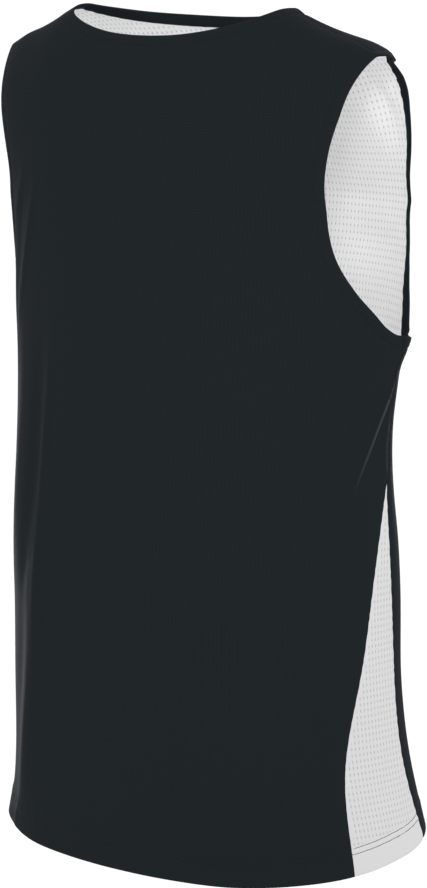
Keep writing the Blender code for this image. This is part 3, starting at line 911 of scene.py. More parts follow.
cloth_layers = {}
for name, shift in (("outside", 0.0), ("lining", LINING_HEM_SHIFT)):
    rows, kept = join_halves(shift)
    same = shared_side(rows)
    kept = {key: same[faces] for key, faces in kept.items()}
    normals = point_normals(rows[:, POINT], np.concatenate(list(kept.values())))
    cloth_layers[name] = rows, normals, kept
    heights = rows[:, HEIGHT]
    print(f"{name}: {len(rows)} points, from {heights.min():.4f} to {heights.max():.4f} m high")

# %% [markdown]
# ## Cloth that looks like cloth
#
# Two cloths are needed, a black knit and a white mesh. An image of a fabric would blur close by
# and show where it repeats, so both are drawn by nodes from the cloth's own map in metres. The
# repeat then has its true size on every piece, distances written on the points tell the nodes
# where a seam or the hem is near, and a value written on the points tells them where a painted
# highlight runs along a sharp crease.

# %% Node helpers
def new_material(name, colour, roughness):
    """A plain material; it, its nodes and its shader."""
    material = bpy.data.materials.new(name)
    material.use_nodes = True
    shader = material.node_tree.nodes["Principled BSDF"]
    shader.inputs["Base Color"].default_value = (*colour, 1.0)
    shader.inputs["Roughness"].default_value = roughness
    return material, material.node_tree, shader


def calculate(tree, operation, *values):
    """A math node on numbers or sockets; its result."""
    node = tree.nodes.new("ShaderNodeMath")
    node.operation = operation
    for slot, value in enumerate(values):
        if isinstance(value, (int, float)):
            node.inputs[slot].default_value = value
        else:
            tree.links.new(value, node.inputs[slot])
    return node.outputs[0]


def opposite(tree, share):
    """1 less a share."""
    return calculate(tree, "SUBTRACT", 1.0, share)


# %% Maps, colours and relief
def cloth_position(tree):
    """Metres across and up the cloth."""
    chart = tree.nodes.new("ShaderNodeUVMap")
    chart.uv_map = "cloth"
    parts = tree.nodes.new("ShaderNodeSeparateXYZ")
    tree.links.new(chart.outputs["UV"], parts.inputs[0])
    return parts.outputs["X"], parts.outputs["Y"]


def written_on(tree, name):
    """A distance written on the points of the mesh."""
    node = tree.nodes.new("ShaderNodeAttribute")
    node.attribute_name = name
    return node.outputs["Fac"]


def blend_colours(tree, share, first, second):
    """Between two colours, or sockets with a colour."""
    node = tree.nodes.new("ShaderNodeMix")
    node.data_type = "RGBA"
    tree.links.new(share, node.inputs["Factor"])
    for slot, colour in (("A", first), ("B", second)):
        if isinstance(colour, tuple):
            node.inputs[slot].default_value = (*colour, 1.0)
        else:
            tree.links.new(colour, node.inputs[slot])
    return node.outputs["Result"]


def soften(tree, value, low, high):
    """0 below low, 1 above high, and smooth between."""
    node = tree.nodes.new("ShaderNodeMapRange")
    node.interpolation_type = "SMOOTHSTEP"
    tree.links.new(value, node.inputs["Value"])
    node.inputs["From Min"].default_value = low
    node.inputs["From Max"].default_value = high
    return node.outputs["Result"]


def emboss(tree, shader, height, depth, strength):
    """Fine relief under the light, from a height of 0 to 1."""
    node = tree.nodes.new("ShaderNodeBump")
    node.inputs["Distance"].default_value = depth
    node.inputs["Strength"].default_value = strength
    tree.links.new(height, node.inputs["Height"])
    tree.links.new(node.outputs["Normal"], shader.inputs["Normal"])


# %% [markdown]
# ## The black knit
#
# The outside is a black knit of tiny level cells, matt, with a little sheen where it turns away,
# because its raised fibres catch light from behind. Along the sharpest creases a fine paler line
# is painted into the colour: a painted highlight on their crests. A real knit has thousands of
# loops in the space of a hand, so the cells are only colour and relief, not loops of yarn.

# %% The black knit
KNIT_CELL, CELL_EDGE, CELL_FACE = (0.0037, 0.0026), 0.05, 0.75
CELL_RELIEF, CELL_STRENGTH = 0.00016, 0.35
KNIT_LINE, KNIT_FACE = (0.0098, 0.0129, 0.0148), (0.0111, 0.0145, 0.0167)
# The pale crest colour is a painted highlight, laid along the crests of the sharp creases.
KNIT_PAINTED_HIGHLIGHT = (0.042, 0.049, 0.053)
PAINTED_HIGHLIGHT_WIDTH, SHARP_CREASE = 0.0006, 0.0030
KNIT_ROUGHNESS, KNIT_SHINE = 0.80, 0.02
KNIT_SHEEN, KNIT_SHEEN_ROUGHNESS, SHEEN_TINT = 0.006, 0.42, (0.80, 0.92, 1.0)


def knit_material(name):
    material, tree, shader = new_material(name, KNIT_FACE, KNIT_ROUGHNESS)
    ribs = []
    for place, size in zip(cloth_position(tree), KNIT_CELL):
        wave = calculate(tree, "SINE", calculate(tree, "MULTIPLY", place, math.pi / size))
        ribs.append(calculate(tree, "ABSOLUTE", wave))
    cell = soften(tree, calculate(tree, "MULTIPLY", *ribs), CELL_EDGE, CELL_FACE)
    colour = blend_colours(tree, cell, KNIT_LINE, KNIT_FACE)
    # Painted highlight: a pale line along the crests of the sharp creases.
    colour = blend_colours(tree, written_on(tree, "painted_crest_highlight"), colour, KNIT_PAINTED_HIGHLIGHT)
    tree.links.new(colour, shader.inputs["Base Color"])
    emboss(tree, shader, cell, CELL_RELIEF, CELL_STRENGTH)
    shader.inputs["Specular IOR Level"].default_value = KNIT_SHINE
    shader.inputs["Sheen Weight"].default_value = KNIT_SHEEN
    shader.inputs["Sheen Roughness"].default_value = KNIT_SHEEN_ROUGHNESS
    shader.inputs["Sheen Tint"].default_value = (*SHEEN_TINT, 1.0)
    return material


BLACK_KNIT = knit_material("black_knit_outside")
print("knit cell:", [round(size * 1000, 1) for size in KNIT_CELL], "mm")

# %% [markdown]
# ## The white mesh
#
# The inserts and the lining are a close white knit with level rows of small upright eyelets, one
# above the other, joined by faint upright lines. Cutting each eyelet out would make tens of
# thousands of tiny edges, so each one is an oval that sinks in under the light, darkened with
# painted shade for the shade inside the hole. They stop where the cloth is doubled or sewn down.

# %% The white mesh
EYELET_HALF_WIDTH, EYELET_HALF_HEIGHT = 0.00062, 0.00135
EYELET_EDGE, LINE_EDGE = (0.65, 1.35), (0.4, 2.2)
# The insert and the lining are the same white mesh. The lining's white is painted paler, as painted light for
# the shade inside the jersey, and the insert's painted darker, as painted shade for the lights on the
# outside.
INSERT_WHITE_WITH_PAINTED_SHADE, LINING_WHITE_WITH_PAINTED_LIGHT, LINE_SHADE = 0.545, 0.96, 0.96
# The eyelet shares darken each hole: painted shade for the shade inside it.
INSERT_EYELET_PAINTED_SHADE, LINING_EYELET_PAINTED_SHADE = 0.70, 0.62
INSERT_PITCH, LINING_PITCH = (0.0041, 0.0057), (0.0049, 0.0066)
CLOSED_SEAM, CLOSED_HEM, HEM_FADE = (0.0022, 0.0032), HEM_DEPTH + 0.0015, 0.001
COURSE, COURSE_HEIGHT = 0.0014, 0.12
MESH_RELIEF, MESH_STRENGTH = 0.00025, 0.5
MESH_ROUGHNESS, MESH_SHINE, MESH_SHEEN = 0.72, 0.3, 0.10


def from_middle(tree, place, pitch):
    """Metres from the middle of each repeat."""
    part = calculate(tree, "FRACT", calculate(tree, "DIVIDE", place, pitch))
    return calculate(tree, "MULTIPLY", calculate(tree, "SUBTRACT", part, 0.5), pitch)


def square(tree, value):
    return calculate(tree, "MULTIPLY", value, value)


def open_cloth(tree):
    """1 where the mesh is single, and 0 at its seams and in its hem."""
    from_seam = soften(tree, written_on(tree, "from_seam"), *CLOSED_SEAM)
    from_hem = soften(tree, written_on(tree, "from_hem"), CLOSED_HEM, CLOSED_HEM + HEM_FADE)
    return calculate(tree, "MULTIPLY", from_seam, from_hem)


def mesh_material(name, shade, eyelet_painted_shade, pitch):
    material, tree, shader = new_material(name, (shade,) * 3, MESH_ROUGHNESS)
    across, up = cloth_position(tree)
    wide = calculate(tree, "DIVIDE", from_middle(tree, across, pitch[0]), EYELET_HALF_WIDTH)
    tall = calculate(tree, "DIVIDE", from_middle(tree, up, pitch[1]), EYELET_HALF_HEIGHT)
    away = calculate(tree, "SQRT", calculate(tree, "ADD", square(tree, wide), square(tree, tall)))
    single = open_cloth(tree)
    eyelet = calculate(tree, "MULTIPLY", opposite(tree, soften(tree, away, *EYELET_EDGE)), single)
    beside_line = soften(tree, calculate(tree, "ABSOLUTE", wide), *LINE_EDGE)
    line = calculate(tree, "MULTIPLY", opposite(tree, beside_line), single)
    ground = blend_colours(tree, line, (shade,) * 3, (shade * LINE_SHADE,) * 3)
    # Painted shade: each eyelet is darkened for the shade that lies in the hole.
    colour = blend_colours(tree, eyelet, ground, (shade * eyelet_painted_shade,) * 3)
    tree.links.new(colour, shader.inputs["Base Color"])
    courses = calculate(tree, "SINE", calculate(tree, "MULTIPLY", up, 2 * math.pi / COURSE))
    height = calculate(tree, "SUBTRACT", calculate(tree, "MULTIPLY", courses, COURSE_HEIGHT), eyelet)
    emboss(tree, shader, height, MESH_RELIEF, MESH_STRENGTH)
    shader.inputs["Specular IOR Level"].default_value = MESH_SHINE
    shader.inputs["Sheen Weight"].default_value = MESH_SHEEN
    return material


# The two whites differ by painted light and shade, not by cloth.
INSERT_MESH = mesh_material("white_insert_mesh_cloth", INSERT_WHITE_WITH_PAINTED_SHADE, INSERT_EYELET_PAINTED_SHADE, INSERT_PITCH)
LINING_MESH = mesh_material("white_lining_mesh_cloth", LINING_WHITE_WITH_PAINTED_LIGHT, LINING_EYELET_PAINTED_SHADE, LINING_PITCH)
for title, (step, row) in (("insert", INSERT_PITCH), ("lining", LINING_PITCH)):
    print("eyelets per square decimetre of", title, "mesh:", round(0.01 / (step * row)))

# %% [markdown]
# ## Sheets
#
# Each piece becomes a thin closed shell: the outside, the inside one thickness in, and a rim
# joining them. At the hem the turned-up cloth is twice as thick and its edge is round, like the
# folded edge that it is. The lining lies just under the outside and ends a little higher, so it
# stays out of sight behind the hem. Between its seams it is loose, so it has a few soft folds of
# its own, which may only fall inwards, towards the wearer.

# %% Make a mesh from arrays
SMOOTH_BELOW = math.radians(42)
BAKE_EDGE = 0.012


def make_mesh(name, points, faces, material, cloth=None, distances=None, bake=None):
    """A piece from points and faces, with its maps and the distances written on its points."""
    mesh = bpy.data.meshes.new(name)
    mesh.from_pydata(points.tolist(), [], faces.tolist())
    corners = faces.ravel()
    if cloth is not None:
        chart = mesh.uv_layers.new(name="cloth")
        chart.data.foreach_set("uv", cloth[corners].astype(np.float32).ravel())
    if bake is not None:
        chart = mesh.uv_layers.new(name="OFBake")
        chart.data.foreach_set("uv", bake.astype(np.float32).ravel())
    for title, values in (distances or {}).items():
        mesh.attributes.new(title, "FLOAT", "POINT").data.foreach_set("value", values.astype(np.float32))
    mesh.shade_smooth()
    mesh.set_sharp_from_angle(angle=SMOOTH_BELOW)
    mesh.materials.append(material)
    piece = bpy.data.objects.new(name, mesh)
    bpy.context.scene.collection.objects.link(piece)
    return piece


def declare(piece, node, slot):
    """Say what body a piece rides on and which frame piece it replaces; the slot is not used."""
    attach(piece, "root")
    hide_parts(node)


def open_edges(triangles, count):
    """The edges that only one triangle has."""
    edges = np.concatenate([triangles[:, [0, 1]], triangles[:, [1, 2]], triangles[:, [2, 0]]])
    forward = edges[:, 0] * count + edges[:, 1]
    backward = edges[:, 1] * count + edges[:, 0]
    return edges[~np.isin(forward, backward)]


# %% Thickness, and how the lining hangs
KNIT_WALL, MESH_WALL, LINING_WALL, LOOSE_GAP = 0.00075, 0.00070, 0.00045, 0.00010
UNDER_KNIT = KNIT_WALL + LOOSE_GAP
HEM_ROLL, HEM_THINNEST = 0.0013, 0.25
LOOSE_FROM_SEAM = 0.022


def sheet_depths(hem, under, wall):
    """Depths of a sheet's two faces under the worn form."""
    thickness = wall * (1 + in_hem(hem))
    middle = under * (1 + in_hem(hem)) + thickness / 2
    part = np.clip(hem / HEM_ROLL, 0, 1)
    roll = np.maximum(np.sqrt(1 - (1 - part) ** 2), HEM_THINNEST)
    return middle - roll * thickness / 2, middle + roll * thickness / 2


LINING_FOLDS = (
    ("name", "half", "degrees_1", "height_1", "degrees_2", "height_2", "degrees_3", "height_3",
     "width", "sags"),
    ("right strap fold", FRONT, 22, -0.046, 29, -0.085, 35, -0.150, 0.015, 0.0024),
    ("right strap edge fold", FRONT, 41, -0.058, 44.5, -0.092, 46, -0.135, 0.0060, 0.0036),
    ("right chest fold", FRONT, 6, -0.236, 24, -0.240, 43, -0.252, 0.015, 0.0026),
    ("left strap fold", FRONT, -34, -0.052, -39, -0.088, -40, -0.150, 0.010, 0.0044),
    ("left chest fold", FRONT, -44, -0.212, -28, -0.226, -8, -0.222, 0.012, 0.0036),
    ("front waist fold", FRONT, -34, -0.400, -14, -0.452, 4, -0.470, 0.012, 0.0034),
    ("back blade fold", BACK, 38, -0.100, 34, -0.165, 40, -0.230, 0.012, 0.0034),
    ("back waist fold", BACK, -22, -0.390, -6, -0.440, 10, -0.452, 0.013, 0.0032),
)


def lining_sag(half, rows):
    """How far the loose lining falls inwards, nothing where it is sewn."""
    sag = small_folds(half, rows[:, ANGLE], rows[:, HEIGHT], LINING_FOLDS)
    return sag * smooth_step(rows[:, FROM_SEAM] / LOOSE_FROM_SEAM)


# Creases narrower than SHARP_CREASE get a painted highlight along their crests.
SHARP_CREASES = [row for row in CREASES[1:] if row[-2] < SHARP_CREASE]
PAINTED_CREST_HIGHLIGHTS = (CREASES[0], *((*row[:-2], PAINTED_HIGHLIGHT_WIDTH, 1.0) for row in SHARP_CREASES))
print("folds of the lining:", len(LINING_FOLDS) - 1, " creases with a pale crest:", len(SHARP_CREASES))

# %% Close a sheet and measure it
def bake_chart(cloth, faces, count, fronts):
    """A second map in which the outside and the inside of a sheet lie side by side."""
    low = cloth.min(axis=0)
    width, length = cloth.max(axis=0) - low
    size = max(2 * width, length) * (1 + 4 * BAKE_EDGE)
    placed = (cloth - low) / size + BAKE_EDGE
    shifted = placed + [width / size + 2 * BAKE_EDGE, 0]
    bake = np.concatenate([placed, shifted])[faces]
    rim = faces[2 * fronts:] % count
    bake[2 * fronts:] = placed[rim]
    return bake.reshape(-1, 2)


def shell_faces(triangles, count):
    """Faces of a closed sheet: the outside, the inside and the rim that joins them."""
    start, end = open_edges(triangles, count).T
    return np.concatenate([
        triangles,
        triangles[:, ::-1] + count,
        np.stack([end, start, start + count], axis=1),
        np.stack([end, start + count, end + count], axis=1),
    ])


def cut_area(cloth, triangles):
    """Square metres of the flat piece."""
    a, b, c = (cloth[triangles[:, corner]] for corner in range(3))
    return float(np.abs((b - a)[:, 0] * (c - a)[:, 1] - (b - a)[:, 1] * (c - a)[:, 0]).sum() / 2)


print("area of a unit square:", cut_area(corners_of_square, np.array([[0, 1, 2], [0, 2, 3]])))

# %% Make a sheet
def cloth_sheet(name, layer, keys, under, wall, material, across_side=False):
    """A sheet of one or more parts of a layer; it, its flat size and its area."""
    rows, normals, kept = cloth_layers[layer]
    used, triangles = np.unique(np.concatenate([kept[key] for key in keys]), return_inverse=True)
    triangles = triangles.reshape(-1, 3)
    rows, normals, count = rows[used], normals[used], len(used)
    half = keys[0][0]
    sag = lining_sag(half, rows) if layer == "lining" else 0.0
    top, bottom = (depth + sag for depth in sheet_depths(rows[:, FROM_HEM], under, wall))
    points = np.concatenate([rows[:, POINT] - normals * depth[:, None] for depth in (top, bottom)])
    faces = shell_faces(triangles, count)
    cloth = rows[:, [ROUND_SIDE, UP]] if across_side else rows[:, CLOTH]
    written = {"from_seam": rows[:, FROM_SEAM], "from_hem": rows[:, FROM_HEM]}
    if material is BLACK_KNIT:
        # The crest value is a painted highlight along the sharp creases.
        written["painted_crest_highlight"] = small_folds(half, rows[:, ANGLE], rows[:, HEIGHT], PAINTED_CREST_HIGHLIGHTS)
    distances = {title: np.tile(values, 2) for title, values in written.items()}
    chart = bake_chart(cloth, faces, count, len(triangles))
    piece = make_mesh(name, points, faces, material, np.tile(cloth, (2, 1)), distances, chart)
    width, length = (cloth.max(axis=0) - cloth.min(axis=0)).tolist()
    area = cut_area(cloth, triangles)
    print(f"{name}: {len(faces)} triangles, cut {width:.3f} x {length:.3f} m, area {area:.3f} m2")
    return piece, (width, length), area


# %% The panels, the inserts and the lining
sheets = {}
for half in (BACK, FRONT):
    word = WORD[half]
    sheets[word + "_panel"] = cloth_sheet(
        word + "_panel_cloth", "outside", [(half, "panel")], 0.0, KNIT_WALL, BLACK_KNIT)
    sheets[word + "_lining"] = cloth_sheet(
        word + "_lining_cloth", "lining", [(half, part) for part in ("panel", "right", "left")],
        UNDER_KNIT, LINING_WALL, LINING_MESH)
for hand in ("right", "left"):
    node = "side_insert_" + hand
    sheets[node] = cloth_sheet(
        node + "_cloth", "outside", [(BACK, hand), (FRONT, hand)],
        0.0, MESH_WALL, INSERT_MESH, across_side=True)

# %% [markdown]
# ## Bands
#
# The neck and armholes are finished with a strip of the black knit, folded in half along its
# length and sewn on over the raw edges. So the section of a band is a narrow U: two walls, a
# rounded fold at the free edge, and two raw edges that lap a millimetre into the seam. A swept
# section makes the fold and both walls at once. The strip is gathered a little by its seam, and
# its width wanders by a fraction of a millimetre, as sewn bands do. A band that is cut shorter
# than its seam pulls its free edge in or lets it stand out, so each one leans by its own table of
# degrees, read at its height.

# %% The section of a band
BAND_WIDTH, BAND_MIDDLE = 0.0095, 0.00115
BAND_STEP = 0.003
BAND_SECTION = (
    ("reach_mm", "level_mm"),
    (-0.9, 0.60), (0.0, 0.70), (0.5, 1.00), (1.4, 1.18), (3.2, 1.27), (6.0, 1.30), (8.0, 1.22),
    (8.9, 0.95), (9.35, 0.50), (9.5, 0.0), (9.35, -0.50), (8.9, -0.95),
    (8.0, -1.22), (6.0, -1.30), (3.2, -1.27), (1.4, -1.18), (0.5, -1.00), (0.0, -0.70), (-0.9, -0.60),
    (-0.9, -0.25), (1.2, -0.42), (8.0, -0.40), (8.4, 0.0), (8.0, 0.40), (1.2, 0.42), (-0.9, 0.25),
)
MILLIMETRE = 0.001
print("points round the section:", len(BAND_SECTION) - 1)

# %% Sweep the section along a seam
WANDER, WANDER_WAVES = 0.00022, ((3.0, 1.0), (7.0, 2.6))
BAND_GATHER, BAND_DRIFT, BAND_DRIFT_WAVES = 0.00016, 1.5, 4


def band_stretch(half, first, last):
    """The seam of a band between two corners of a half."""
    outline, corners, _ = half_outline(half, BAND_STEP)
    return outline[corners[first]:corners[last] + 1]


def seam_directions(stretches):
    """Points of a closed seam, with the directions along it, into the opening and out of the cloth."""
    rings = []
    for half, places, (heights, degrees) in stretches:
        angle, rise = places[:, 0], places[:, 1]
        points = folded_form(half, angle, rise)
        leans = np.radians(np.interp(points[:, HEIGHT], heights, degrees))
        rings.append(np.column_stack([points, outward(half, angle, rise), leans]))
    rings = np.concatenate(rings)
    points, normals, leans = rings[:, :3], rings[:, 3:6], rings[:, 6:]
    along = unit(np.roll(points, -1, axis=0) - np.roll(points, 1, axis=0))
    inward = unit(np.cross(normals, along))
    if ((points.mean(axis=0) - points) * inward).sum() < 0:
        inward = -inward
    leaned = inward * np.cos(leans) + normals * np.sin(leans)
    return points, along, leaned, normals * np.cos(leans) - inward * np.sin(leans)


def ring_quads(count, sides):
    """Faces of a closed tube of rings."""
    here = np.arange(count)[:, None] * sides
    there = (np.arange(count)[:, None] + 1) % count * sides
    corner = np.arange(sides)[None]
    after = (corner + 1) % sides
    return np.stack([here + corner, here + after, there + after, there + corner], axis=-1).reshape(-1, 4)


def band_strip(name, stretches, node):
    """A folded strip along a closed seam, given as (half, places, leans) stretches in order."""
    points, along, inward, normals = seam_directions(stretches)
    lengths = np.linalg.norm(np.roll(points, -1, axis=0) - points, axis=1)
    travelled = np.concatenate([[0.0], np.cumsum(lengths)[:-1]])
    whole = lengths.sum()
    turn = 2 * math.pi * travelled / whole
    wander = WANDER * np.mean([np.sin(waves * turn + phase) for waves, phase in WANDER_WAVES], axis=0)
    drift = BAND_DRIFT * np.sin(BAND_DRIFT_WAVES * turn)
    gather = BAND_GATHER * np.sin(2 * math.pi * travelled / GATHER_LENGTH + drift)
    section = np.array(BAND_SECTION[1:]) * MILLIMETRE
    free = section[:, 0] / BAND_WIDTH
    reach = section[:, 0] + wander[:, None] * free
    level = section[:, 1] + gather[:, None] * (1 - free) - BAND_MIDDLE
    ring_points = points[:, None] + inward[:, None] * reach[..., None] + normals[:, None] * level[..., None]
    quads = ring_quads(len(points), len(section))
    if (np.cross(inward, normals) * along).sum() > 0:
        quads = quads[:, ::-1]
    profile = np.concatenate([[0.0], np.cumsum(np.linalg.norm(np.diff(section, axis=0), axis=1))])
    cloth = np.stack(np.broadcast_arrays(travelled[:, None], profile[None]), axis=-1).reshape(-1, 2)
    piece = make_mesh(name, ring_points.reshape(-1, 3), quads, BLACK_KNIT, cloth)
    declare(piece, node, "black_band")
    print(f"{name}: loop {whole:.3f} m, strip {2 * BAND_WIDTH * 1000:.0f} mm wide before it is folded")
    return piece, whole


# %% The three bands
LEANS = {
    ("neck", BACK): ((-0.1, 0.1), (0, 0)),
    ("neck", FRONT): ((-0.0174, -0.0109, -0.0045, -0.001, 0.0), (43, 31, 17, 6, 0)),
    ("armhole", BACK): ((-0.3, 0.0), (0, 0)),
    ("armhole", FRONT): (
        (-0.2945, -0.2915, -0.289, -0.2854, -0.273, -0.260, -0.247, -0.234, -0.220, -0.207,
         -0.118, -0.098, -0.085, -0.068, -0.056, -0.043, -0.0355, -0.0335, -0.0318),
        (9, 10, 20, 26, 20, 14, 6, -2, -14, -18, -24, -22, -19, -9, -8, -18, -26, -20, 0)),
}


def loop_of(title, back, front):
    """One closed seam: the back's stretch, then the front's on the way home."""
    return [(BACK, back[:-1], LEANS[title, BACK]), (FRONT, front[::-1][:-1], LEANS[title, FRONT])]


def armhole_stretches(sign):
    right = [band_stretch(half, UNDERARM, SHOULDER_TIP) for half in (BACK, FRONT)]
    return loop_of("armhole", *(run * [sign, 1.0] for run in right))


def neck_stretches():
    right = [band_stretch(half, NECK_POINT, NECK_CENTRE) for half in (BACK, FRONT)]
    return loop_of("neck", *(np.concatenate([run, mirrored(run)[1:]]) for run in right))


bands = {"neck_band": band_strip("neck_band_strip", neck_stretches(), "neck_band")}
for hand, sign in (("right", 1), ("left", -1)):
    node = "armhole_band_" + hand
    bands[node] = band_strip(node + "_strip", armhole_stretches(sign), node)

# %% [markdown]
# ## Stitches
#
# Both hems are held by a twin needle: two level rows of small thread stitches, five millimetres
# apart. Each stitch is a short rounded length of thread that dips into the cloth at both ends.
# They are built one by one along the row, since at this size a painted line has no shadow. The
# outside has black thread, which all but vanishes on the knit and shows as two fine dark lines
# on the white inserts. The lining has white thread on the face towards the wearer.

# %% The thread and one stitch
STITCH_LENGTH, THREAD_RADIUS, THREAD_SIDES = 0.00215, 0.00027, 6
STITCH_RINGS = ((-0.46, 0.6), (-0.33, 1.0), (0.33, 1.0), (0.46, 0.6))
THREAD_ROUGHNESS, THREAD_SHINE = 0.7, 0.2


def thread_material(name, colour):
    material, _, shader = new_material(name, colour, THREAD_ROUGHNESS)
    shader.inputs["Specular IOR Level"].default_value = THREAD_SHINE
    return material


BLACK_THREAD = thread_material("black_thread", (0.006, 0.009, 0.010))
WHITE_THREAD = thread_material("white_thread", (0.80, 0.80, 0.80))


def thread_template():
    """Points and faces of one stitch, along, sideways and up: rings of sides, then its two ends."""
    points = []
    for share, swell in STITCH_RINGS:
        radius = swell * THREAD_RADIUS
        for turn in np.arange(THREAD_SIDES) / THREAD_SIDES * 2 * math.pi:
            points.append((share * STITCH_LENGTH, radius * math.cos(turn), radius * math.sin(turn)))
    start, end = len(points), len(points) + 1
    points += [(-STITCH_LENGTH / 2, 0.0, 0.0), (STITCH_LENGTH / 2, 0.0, 0.0)]
    faces = []
    for side in range(THREAD_SIDES):
        after = (side + 1) % THREAD_SIDES
        for here in range(0, start - THREAD_SIDES, THREAD_SIDES):
            there = here + THREAD_SIDES
            faces.append((here + side, here + after, there + after))
            faces.append((here + side, there + after, there + side))
        last = start - THREAD_SIDES
        faces.append((start, after, side))
        faces.append((end, last + side, last + after))
    return np.array(points), np.array(faces)


print("triangles of one stitch:", len(thread_template()[1]))

# %% Rows of stitches
STITCH_PITCH, FINE_ROW = 0.0024, 1600


def stitch_places(half, row, hem_shift):
    """Middles of the stitches of a row, their directions and outward directions, and angles."""
    angle = np.linspace(-RIGHT_ANGLE, RIGHT_ANGLE, FINE_ROW)
    raised = row + shifted_up(row, hem_shift)
    fine, _, _, _ = finished_form(half, angle, hem_rise(half, angle) + raised)
    lengths = np.concatenate([[0.0], np.cumsum(np.linalg.norm(np.diff(fine, axis=0), axis=1))])
    stops = np.arange(STITCH_PITCH / 2, lengths[-1], STITCH_PITCH)
    angle = np.interp(stops, lengths, angle)
    points, direction, _, hem = finished_form(half, angle, hem_rise(half, angle) + raised)
    return points, unit(np.gradient(points, axis=0)), direction, angle, hem


def stitches(name, parts, material, node, slot):
    """One mesh of stitches from lists of (middles, directions, outward directions)."""
    template, faces = thread_template()
    middles, ahead, up = (np.concatenate([part[index] for part in parts]) for index in range(3))
    sideways = unit(np.cross(up, ahead))
    upright = np.cross(ahead, sideways)
    points = middles[:, None]
    for axis, direction in enumerate((ahead, sideways, upright)):
        points = points + direction[:, None] * template[None, :, axis:axis + 1]
    all_faces = faces[None] + (np.arange(len(middles)) * len(template))[:, None, None]
    piece = make_mesh(name, points.reshape(-1, 3), all_faces.reshape(-1, 3), material)
    declare(piece, node, slot)
    return piece


print("stitches in a decimetre of one row:", round(0.1 / STITCH_PITCH))

# %% Sew the hems
THREAD_SITS = 0.00008
outside_rows, lining_rows = {}, {}
for half in (BACK, FRONT):
    foot_angle = insert_seam(half)[0, 0]
    for row in STITCH_ROWS:
        points, ahead, up, angle, _ = stitch_places(half, row, 0.0)
        places = {
            WORD[half] + "_panel": np.abs(angle) < foot_angle,
            "side_insert_right": angle >= foot_angle,
            "side_insert_left": angle <= -foot_angle,
        }
        for node, here in places.items():
            sewn = points[here] + up[here] * THREAD_SITS
            outside_rows.setdefault(node, []).append((sewn, ahead[here], up[here]))
        points, ahead, up, _, hem = stitch_places(half, row, LINING_HEM_SHIFT)
        _, under = sheet_depths(hem, UNDER_KNIT, LINING_WALL)
        sewn = points - up * (under + THREAD_SITS)[:, None]
        lining_rows.setdefault(WORD[half] + "_lining", []).append((sewn, ahead, -up))
INSERT_SLOT = "white_insert_mesh"
SLOTS = {"panel": "black_knit", "lining": "white_lining_mesh", "right": INSERT_SLOT, "left": INSERT_SLOT}
for rows_of, thread in ((outside_rows, BLACK_THREAD), (lining_rows, WHITE_THREAD)):
    for node, parts in rows_of.items():
        slot = SLOTS[node.split("_")[-1]]
        stitches(node + "_hem_stitches", parts, thread, node, slot)
        print(node, "stitches:", sum(len(part[0]) for part in parts))

# %% [markdown]
# ## The sheets in place
#
# Every sheet has printed the flat size and area that it was cut to: cloth bends, but it hardly
# stretches. Here each sheet rides on the root and takes the place of its frame piece. The panels
# and inserts hang from their seams, the lining lies behind them, and each band is a strip folded
# in half.

# %% State the sheets
BAND_STRIPS = ["neck_band_strip", "armhole_band_right_strip", "armhole_band_left_strip"]
PANEL_CLOTHS = ["back_panel_cloth", "front_panel_cloth"]
HANGS_FROM = {
    "back_panel": BAND_STRIPS,
    "front_panel": BAND_STRIPS,
    "back_lining": PANEL_CLOTHS[:1],
    "front_lining": PANEL_CLOTHS[1:],
    "side_insert_right": PANEL_CLOTHS,
    "side_insert_left": PANEL_CLOTHS,
}
for node, (piece, size, area) in sheets.items():
    declare(piece, node, SLOTS[node.split("_")[-1]])
    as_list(HANGS_FROM[node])
print("sheets stated:", len(sheets) + len(bands))

# %% [markdown]
# ## Light, floor and camera
#
# The jersey is shown on white: a wide pale floor far below it and an even white surround, which
# light it almost alone. Black cloth loses its form under them, so five weak lights are added.
# Two from the left and one from the right graze the sides from beyond, and only the crests that
# turn towards them catch a fine light line. Two large soft ones brighten what faces them, so the
# turned faces fall a little darker. The view is a long lens from behind and to the right.

# %% Light and floor
FLOOR_HEIGHT, FLOOR_HALF, FLOOR_COLOUR, FLOOR_ROUGHNESS = -1.55, 150.0, (0.96, 0.96, 0.96), 0.9
SURROUND_COLOUR, SURROUND_STRENGTH = (1.0, 1.0, 1.0, 1.0), 1.1
AREA_LIGHTS = (
    ("name", "place", "aim", "size", "spread_degrees", "watts"),
    ("left low light", (2.5, -1.3, -0.72), (0.12, 0.06, -0.59), 0.4, 9, 0.19),
    ("left high light", (2.83, -1.0, -0.3), (0.1, 0.0, -0.25), 0.6, 30, 0.08),
    ("right raking light", (0.576, -2.93, -0.40), (-0.2, -0.03, -0.40), 0.1, 5, 0.025),
    ("right soft light", (-1.7, -2.3, 0.6), (0.0, 0.0, -0.4), 0.9, 40, 0.7),
    ("front soft light", (-2.25, 2.75, 0.9), (0.0, 0.0, -0.35), 0.8, 26, 1.05),
)

world = bpy.data.worlds.new("white surround")
world.use_nodes = True
world.node_tree.nodes["Background"].inputs["Color"].default_value = SURROUND_COLOUR
world.node_tree.nodes["Background"].inputs["Strength"].default_value = SURROUND_STRENGTH
bpy.context.scene.world = world

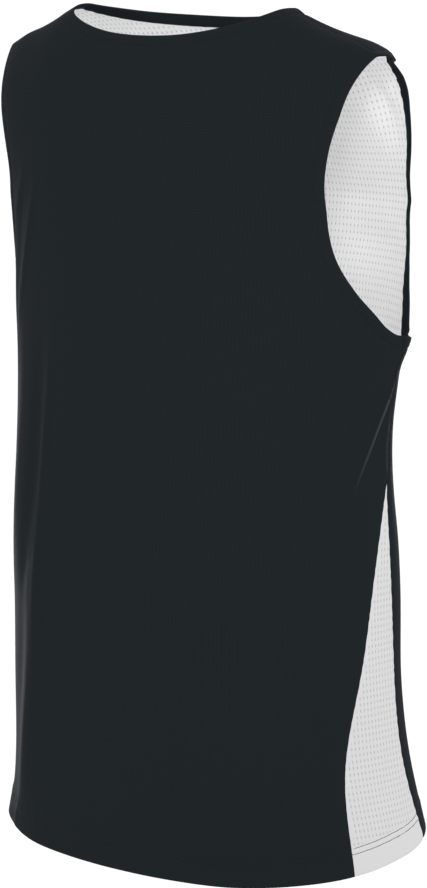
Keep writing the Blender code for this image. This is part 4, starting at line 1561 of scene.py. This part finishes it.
for name, place, aim, size, spread, watts in AREA_LIGHTS[1:]:
    light = bpy.data.lights.new(name, "AREA")
    light.shape = "DISK"
    light.size = size
    light.spread = math.radians(spread)
    light.energy = watts
    lamp = bpy.data.objects.new(name, light)
    lamp.location = place
    lamp.rotation_euler = (Vector(aim) - Vector(place)).to_track_quat("-Z", "Y").to_euler()
    bpy.context.scene.collection.objects.link(lamp)

floor_material, _, _ = new_material("pale floor", FLOOR_COLOUR, FLOOR_ROUGHNESS)
floor_corners = np.array([(-1, -1), (1, -1), (1, 1), (-1, 1)]) * FLOOR_HALF
floor_points = np.column_stack([floor_corners, np.full(4, FLOOR_HEIGHT)])
floor = make_mesh("floor", floor_points, np.array([[0, 1, 2, 3]]), floor_material)
floor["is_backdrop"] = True
print("lights:", len(AREA_LIGHTS) - 1, " floor", -FLOOR_HEIGHT, "m below the neck points")

# %% Camera
CAMERA_BEARING, CAMERA_DISTANCE, CAMERA_HEIGHT = math.radians(220.6), 3.2, 0.092
CAMERA_TURN, CAMERA_PITCH = math.radians(-0.43), math.radians(8.65)
LENS, SENSOR, FARTHEST = 143.4, 36.0, 600.0

camera_data = bpy.data.cameras.new("camera")
camera_data.lens = LENS
camera_data.sensor_width = SENSOR
camera_data.clip_end = FARTHEST
camera = bpy.data.objects.new("camera", camera_data)
camera.location = (
    CAMERA_DISTANCE * math.sin(CAMERA_BEARING),
    -CAMERA_DISTANCE * math.cos(CAMERA_BEARING),
    CAMERA_HEIGHT,
)
camera.rotation_euler = (RIGHT_ANGLE - CAMERA_PITCH, 0.0, CAMERA_BEARING + CAMERA_TURN)
bpy.context.scene.collection.objects.link(camera)
bpy.context.scene.camera = camera
bpy.context.scene.view_settings.view_transform = "Standard"
print("camera stands at:", [round(value, 3) for value in camera.location])

# %% [markdown]
# ## The box of what was built
#
# The box of what was built is printed: the cloth may stand a little proud of the frame, and no
# more.

# %% Print the box and finish
visual_box = [list(corner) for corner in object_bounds()]
print("model box:", [[round(value, 4) for value in corner] for corner in visual_box])
